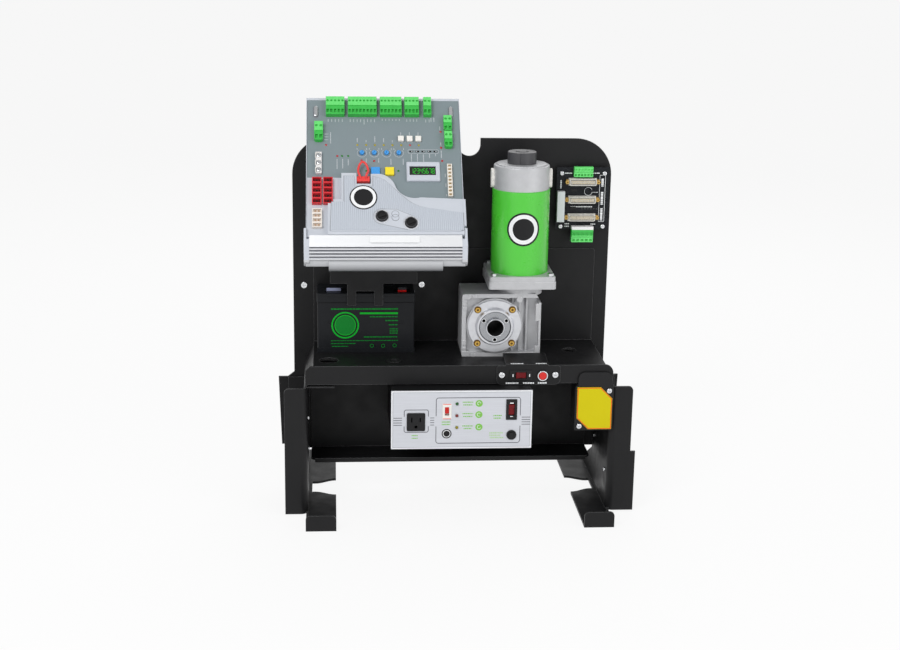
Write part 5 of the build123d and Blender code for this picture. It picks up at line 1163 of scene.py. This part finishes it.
def battery_marks():
    """A plain green roundel and bare bars on the battery's front."""
    place = on_front(BATTERY_FRONT)
    centre = (-170.5, 283.5)

    def roundel(bm):
        ring(bm, *centre, 18.6, 21.5, -0.1, FILM, steps=64)
        disc(bm, *centre, 16.2, -0.1, FILM, 64)

    def bars(bm):
        for x0, x1, z, height in ((-192.2, -89.3, 309.3, 2.4), (-132.6, -89.8, 297.0, 2.0),
                                  (-108.7, -89.2, 290.8, 2.0), (-103.3, -89.2, 284.0, 1.8),
                                  (-102.1, -89.6, 277.4, 1.6), (-102.1, -89.6, 274.0, 1.6),
                                  (-102.1, -89.6, 270.6, 1.6), (-141.7, -89.2, 264.6, 1.8),
                                  (-192.4, -89.0, 258.8, 1.2), (-192.4, -154.1, 254.2, 1.4),
                                  (-191.0, -165.9, 249.7, 1.4)):
            dashes(bm, x0, x1, z, height, run=4.4, gap=0.7)
        for x, z in ((-129.4, 250.4), (-112.0, 250.3), (-94.2, 250.8)):
            ring(bm, x, z, 2.2, 3.0, -0.1, FILM, steps=24)

    def bright(bm):
        plate(bm, -118.7, 302.4, 58.9, 3.0, -0.1, FILM, 0.4)
        ring(bm, *centre, 15.2, 16.4, -0.1, FILM + 0.05, steps=64)
        ring(bm, *centre, 19.3, 21.0, -0.1, FILM + 0.05, steps=64)

    def seams(bm):
        for z in (319.0, 329.0):
            plate(bm, -138.5, z, 149.0, 0.5, -0.2, 0.05, 0.1)

    piece("battery_roundel", roundel, place, DARK_GREEN_INK)
    piece("battery_bars", bars, place, DARK_GREEN_INK)
    piece("battery_bright_bar", bright, place, LEAF_INK)
    piece("battery_lid_seams", seams, place, HOLE)


def wrapped(bm, centre_z, inner, outer, lift, steps=64):
    """A ring printed on the motor's round side, facing the viewer."""
    rows = []
    for i in range(steps):
        turn = 2 * math.pi * i / steps
        row = []
        for radius in (inner, outer):
            for height in (-0.15, lift):
                angle = radius * math.cos(turn) / MOTOR_RADIUS
                reach = MOTOR_RADIUS + height
                row.append(bm.verts.new((MOTOR_X + reach * math.sin(angle), MOTOR_Y - reach * math.cos(angle),
                                         centre_z + radius * math.sin(turn))))
        rows.append(row)
    for i in range(steps):
        a, b = rows[i], rows[(i + 1) % steps]
        for k, m in ((0, 1), (1, 3), (3, 2), (2, 0)):
            bm.faces.new((a[k], b[k], b[m], a[m]))


def motor_roundel():
    """The plain roundel on the motor: black, white and black rings."""
    place = Matrix.Scale(MM, 4)
    for name, inner, outer, lift, look in (("rim", 22.8, 25.6, 0.25, BLACK_INK), ("ring", 16.6, 22.9, 0.22, PAPER),
                                           ("middle", 0.05, 16.7, 0.25, BLACK_INK)):
        def build(bm, inner=inner, outer=outer, lift=lift):
            steps = (0.0, 0.34, 0.67, 1.0)
            for start, end in zip(steps, steps[1:]):
                wrapped(bm, 441.0, inner + (outer - inner) * start, inner + (outer - inner) * end, lift)
        piece(f"motor_roundel_{name}", build, place, look)


def bore_collar():
    """The thin collar at the mouth of the output bore and the bright rims of the tapped holes."""
    def collar(bm):
        ring(bm, *GEAR_AXIS, 12.6, 14.2, -0.3, 6.3, steps=72)

    def rims(bm):
        for x, z in HUB_HOLES:
            ring(bm, x, z, 2.6, 3.5, -0.1, 0.15, steps=28)

    place = on_front(HUB_FRONT)
    piece("output_bore_collar", collar, place, COLLAR_STEEL, "output", edge=0.4)
    piece("output_hole_rims", rims, place, BRIGHT_STEEL, "output")


def bolt_shades():
    """Painted shade: a dark ring between each bolt head of the front cover and its washer, and a dark dome in the
    middle of each head.
    """
    def build(bm):
        for turn in (45, 135, 225, 315):
            x = GEAR_AXIS[0] + COVER_BOLT_REACH * math.cos(math.radians(turn))
            z = GEAR_AXIS[1] + COVER_BOLT_REACH * math.sin(math.radians(turn))
            ring(bm, x, z, 3.4, 5.5, 0.6, 0.9 + FILM, steps=32)
            dome(bm, x, z, 1.9, 3.1, 0.5, 20, 3)
    piece("bolt_shades", build, on_front(COVER_FRONT), BOLT_SHADE, edge=0.1)


# Sensor board

def board_marks():
    """White lines, small parts and pins on the black board."""
    place = on_front(BOARD_FRONT)

    def silk(bm):
        outer = rounded(230.8, 471.9, 9.3, 74.0, 1.0)
        band(bm, outer, rounded(230.8, 471.9, 8.1, 72.8, 0.5), -0.1, FILM)
        for z0, z1 in ((490.7, 503.2), (462.0, 482.1), (436.9, 456.2)):
            dashes(bm, z0, z1, 230.8, 3.6, run=2.6, upwards=True)
        ring(bm, 208.9, 483.0, 5.9, 6.5, -0.1, FILM, steps=40)
        plate(bm, 219.8, 481.6, 9.0, 0.7, -0.1, FILM, 0.2)
        dashes(bm, 181.9, 216.8, 458.7, 1.6)
        for x0, x1, z in ((171.4, 183.3, 511.6), (215.6, 225.6, 511.7), (173.3, 180.2, 431.6), (173.3, 180.2, 427.6),
                          (214.6, 222.2, 431.1)):
            dashes(bm, x0, x1, z, 1.6)
        dashes(bm, 487.7, 501.1, 165.6, 1.8, upwards=True)

    def chips(bm):
        for z in (484.8, 456.5):
            plate(bm, 186.0, z, 9.0, 4.4, -0.1, 1.6, 0.2)

    def resistors(bm):
        for k in range(6):
            plate(bm, 200.0 + 4.6 * k, 455.4, 2.6, 1.4, -0.1, 0.7, 0.2)

    def pins(bm):
        for z in (498.5, 470.5, 442.5):
            for k in range(13):
                plate(bm, 199.0 + (k - 6) * 2.76, z + 1.4, 0.9, 0.9, 8.2, 9.2, 0.2)
            for k in range(12):
                plate(bm, 199.0 + (k - 5.5) * 2.76, z - 1.4, 0.9, 0.9, 8.2, 9.2, 0.2)

    piece("board_silk_lines", silk, place, WHITE_INK)
    piece("board_chips", chips, place, LOOKS["black_plastic"], edge=0.2)
    piece("board_resistors", resistors, place, LOOKS["dark_cap"], edge=0.1)
    piece("plug_pins", pins, place, BRASS_PIN)


def grommet():
    """The rubber grommet in the tray's cable hole."""
    def build(bm):
        ring(bm, -97.0, -88.0, 7.0, 11.5, 0.0, 1.6, steps=48)
        ring(bm, -97.0, -88.0, 7.0, 9.9, -3.0, 0.2, steps=48)
    piece("tray_grommet", build, on_top(240.0), LOOKS["black_plastic"], edge=0.5)


# Stage, light and camera

def stage():
    """A pale floor that fades to white, soft studio light and the photograph's camera."""
    scene = bpy.context.scene
    scene.view_settings.view_transform = "Standard"
    bpy.ops.mesh.primitive_circle_add(vertices=96, radius=30.0, fill_type="NGON", location=(0, 0, 0))
    floor = bpy.context.object
    floor.name = "studio_floor"
    material = bpy.data.materials.new("studio_floor")
    material.use_nodes = True
    nodes, links = material.node_tree.nodes, material.node_tree.links
    nodes.clear()
    out = nodes.new("ShaderNodeOutputMaterial")
    diffuse = nodes.new("ShaderNodeBsdfDiffuse")
    diffuse.inputs["Color"].default_value = (0.82, 0.82, 0.82, 1)
    white = nodes.new("ShaderNodeEmission")
    white.inputs["Strength"].default_value = 1.0
    rays = nodes.new("ShaderNodeLightPath")
    sees = nodes.new("ShaderNodeMath")
    sees.operation = "MAXIMUM"
    links.new(rays.outputs["Is Camera Ray"], sees.inputs[0])
    links.new(rays.outputs["Is Glossy Ray"], sees.inputs[1])
    share = nodes.new("ShaderNodeMath")
    share.operation = "MULTIPLY"
    share.inputs[1].default_value = 0.88
    links.new(sees.outputs[0], share.inputs[0])
    mix = nodes.new("ShaderNodeMixShader")
    links.new(share.outputs[0], mix.inputs[0])
    links.new(diffuse.outputs[0], mix.inputs[1])
    links.new(white.outputs[0], mix.inputs[2])
    links.new(mix.outputs[0], out.inputs["Surface"])
    floor.data.materials.append(material)

    world = bpy.data.worlds.new("studio")
    scene.world = world
    world.use_nodes = True
    nodes, links = world.node_tree.nodes, world.node_tree.links
    soft = nodes["Background"]
    soft.inputs["Color"].default_value = (1, 1, 1, 1)
    soft.inputs["Strength"].default_value = 0.5
    seen = nodes.new("ShaderNodeBackground")
    seen.inputs["Color"].default_value = (0.96, 0.96, 0.96, 1)
    seen.inputs["Strength"].default_value = 1.0
    rays = nodes.new("ShaderNodeLightPath")
    mix = nodes.new("ShaderNodeMixShader")
    links.new(rays.outputs["Is Camera Ray"], mix.inputs[0])
    links.new(soft.outputs[0], mix.inputs[1])
    links.new(seen.outputs[0], mix.inputs[2])
    links.new(mix.outputs[0], nodes["World Output"].inputs["Surface"])

    for name, place, size, power in (("key", (-1.1, -1.9, 1.9), 1.2, 34.0), ("fill", (1.5, -1.6, 1.0), 1.4, 14.0),
                                     ("back", (0.3, 1.6, 1.8), 1.6, 16.0)):
        light = bpy.data.lights.new(name, "AREA")
        light.energy = power
        light.size = size
        holder = bpy.data.objects.new(name, light)
        scene.collection.objects.link(holder)
        holder.location = place
        aim = Vector((0, 0, 0.3)) - holder.location
        holder.rotation_euler = aim.to_track_quat("-Z", "Y").to_euler()

    camera = bpy.data.cameras.new("photo_camera")
    camera.sensor_width = 36.0
    camera.lens = 61.825
    camera.clip_end = 100.0
    holder = bpy.data.objects.new("photo_camera", camera)
    scene.collection.objects.link(holder)
    right = Vector((0.99712, -0.07420, 0.01566))
    up = Vector((0.00444, 0.26329, 0.96471))
    forward = Vector((0.07570, 0.96186, -0.26286))
    turn = Matrix((right, up, -forward)).transposed().to_4x4()
    turn.translation = Vector((-0.1898, -2.3418, 0.91245))
    holder.matrix_world = turn
    scene.camera = holder


dress_nodes()
status_lamps()
selector_switches()
trimmer_marks()
face_legends()
cover_field()
cover_marks()
knob_marks()
display_glass()
face_hardware()
socket_contacts()
sink_label()
panel_marks()
panel_lamps()
bracket_marks()
warning_plate()
battery_marks()
motor_roundel()
bore_collar()
bolt_shades()
board_marks()
grommet()
stage()
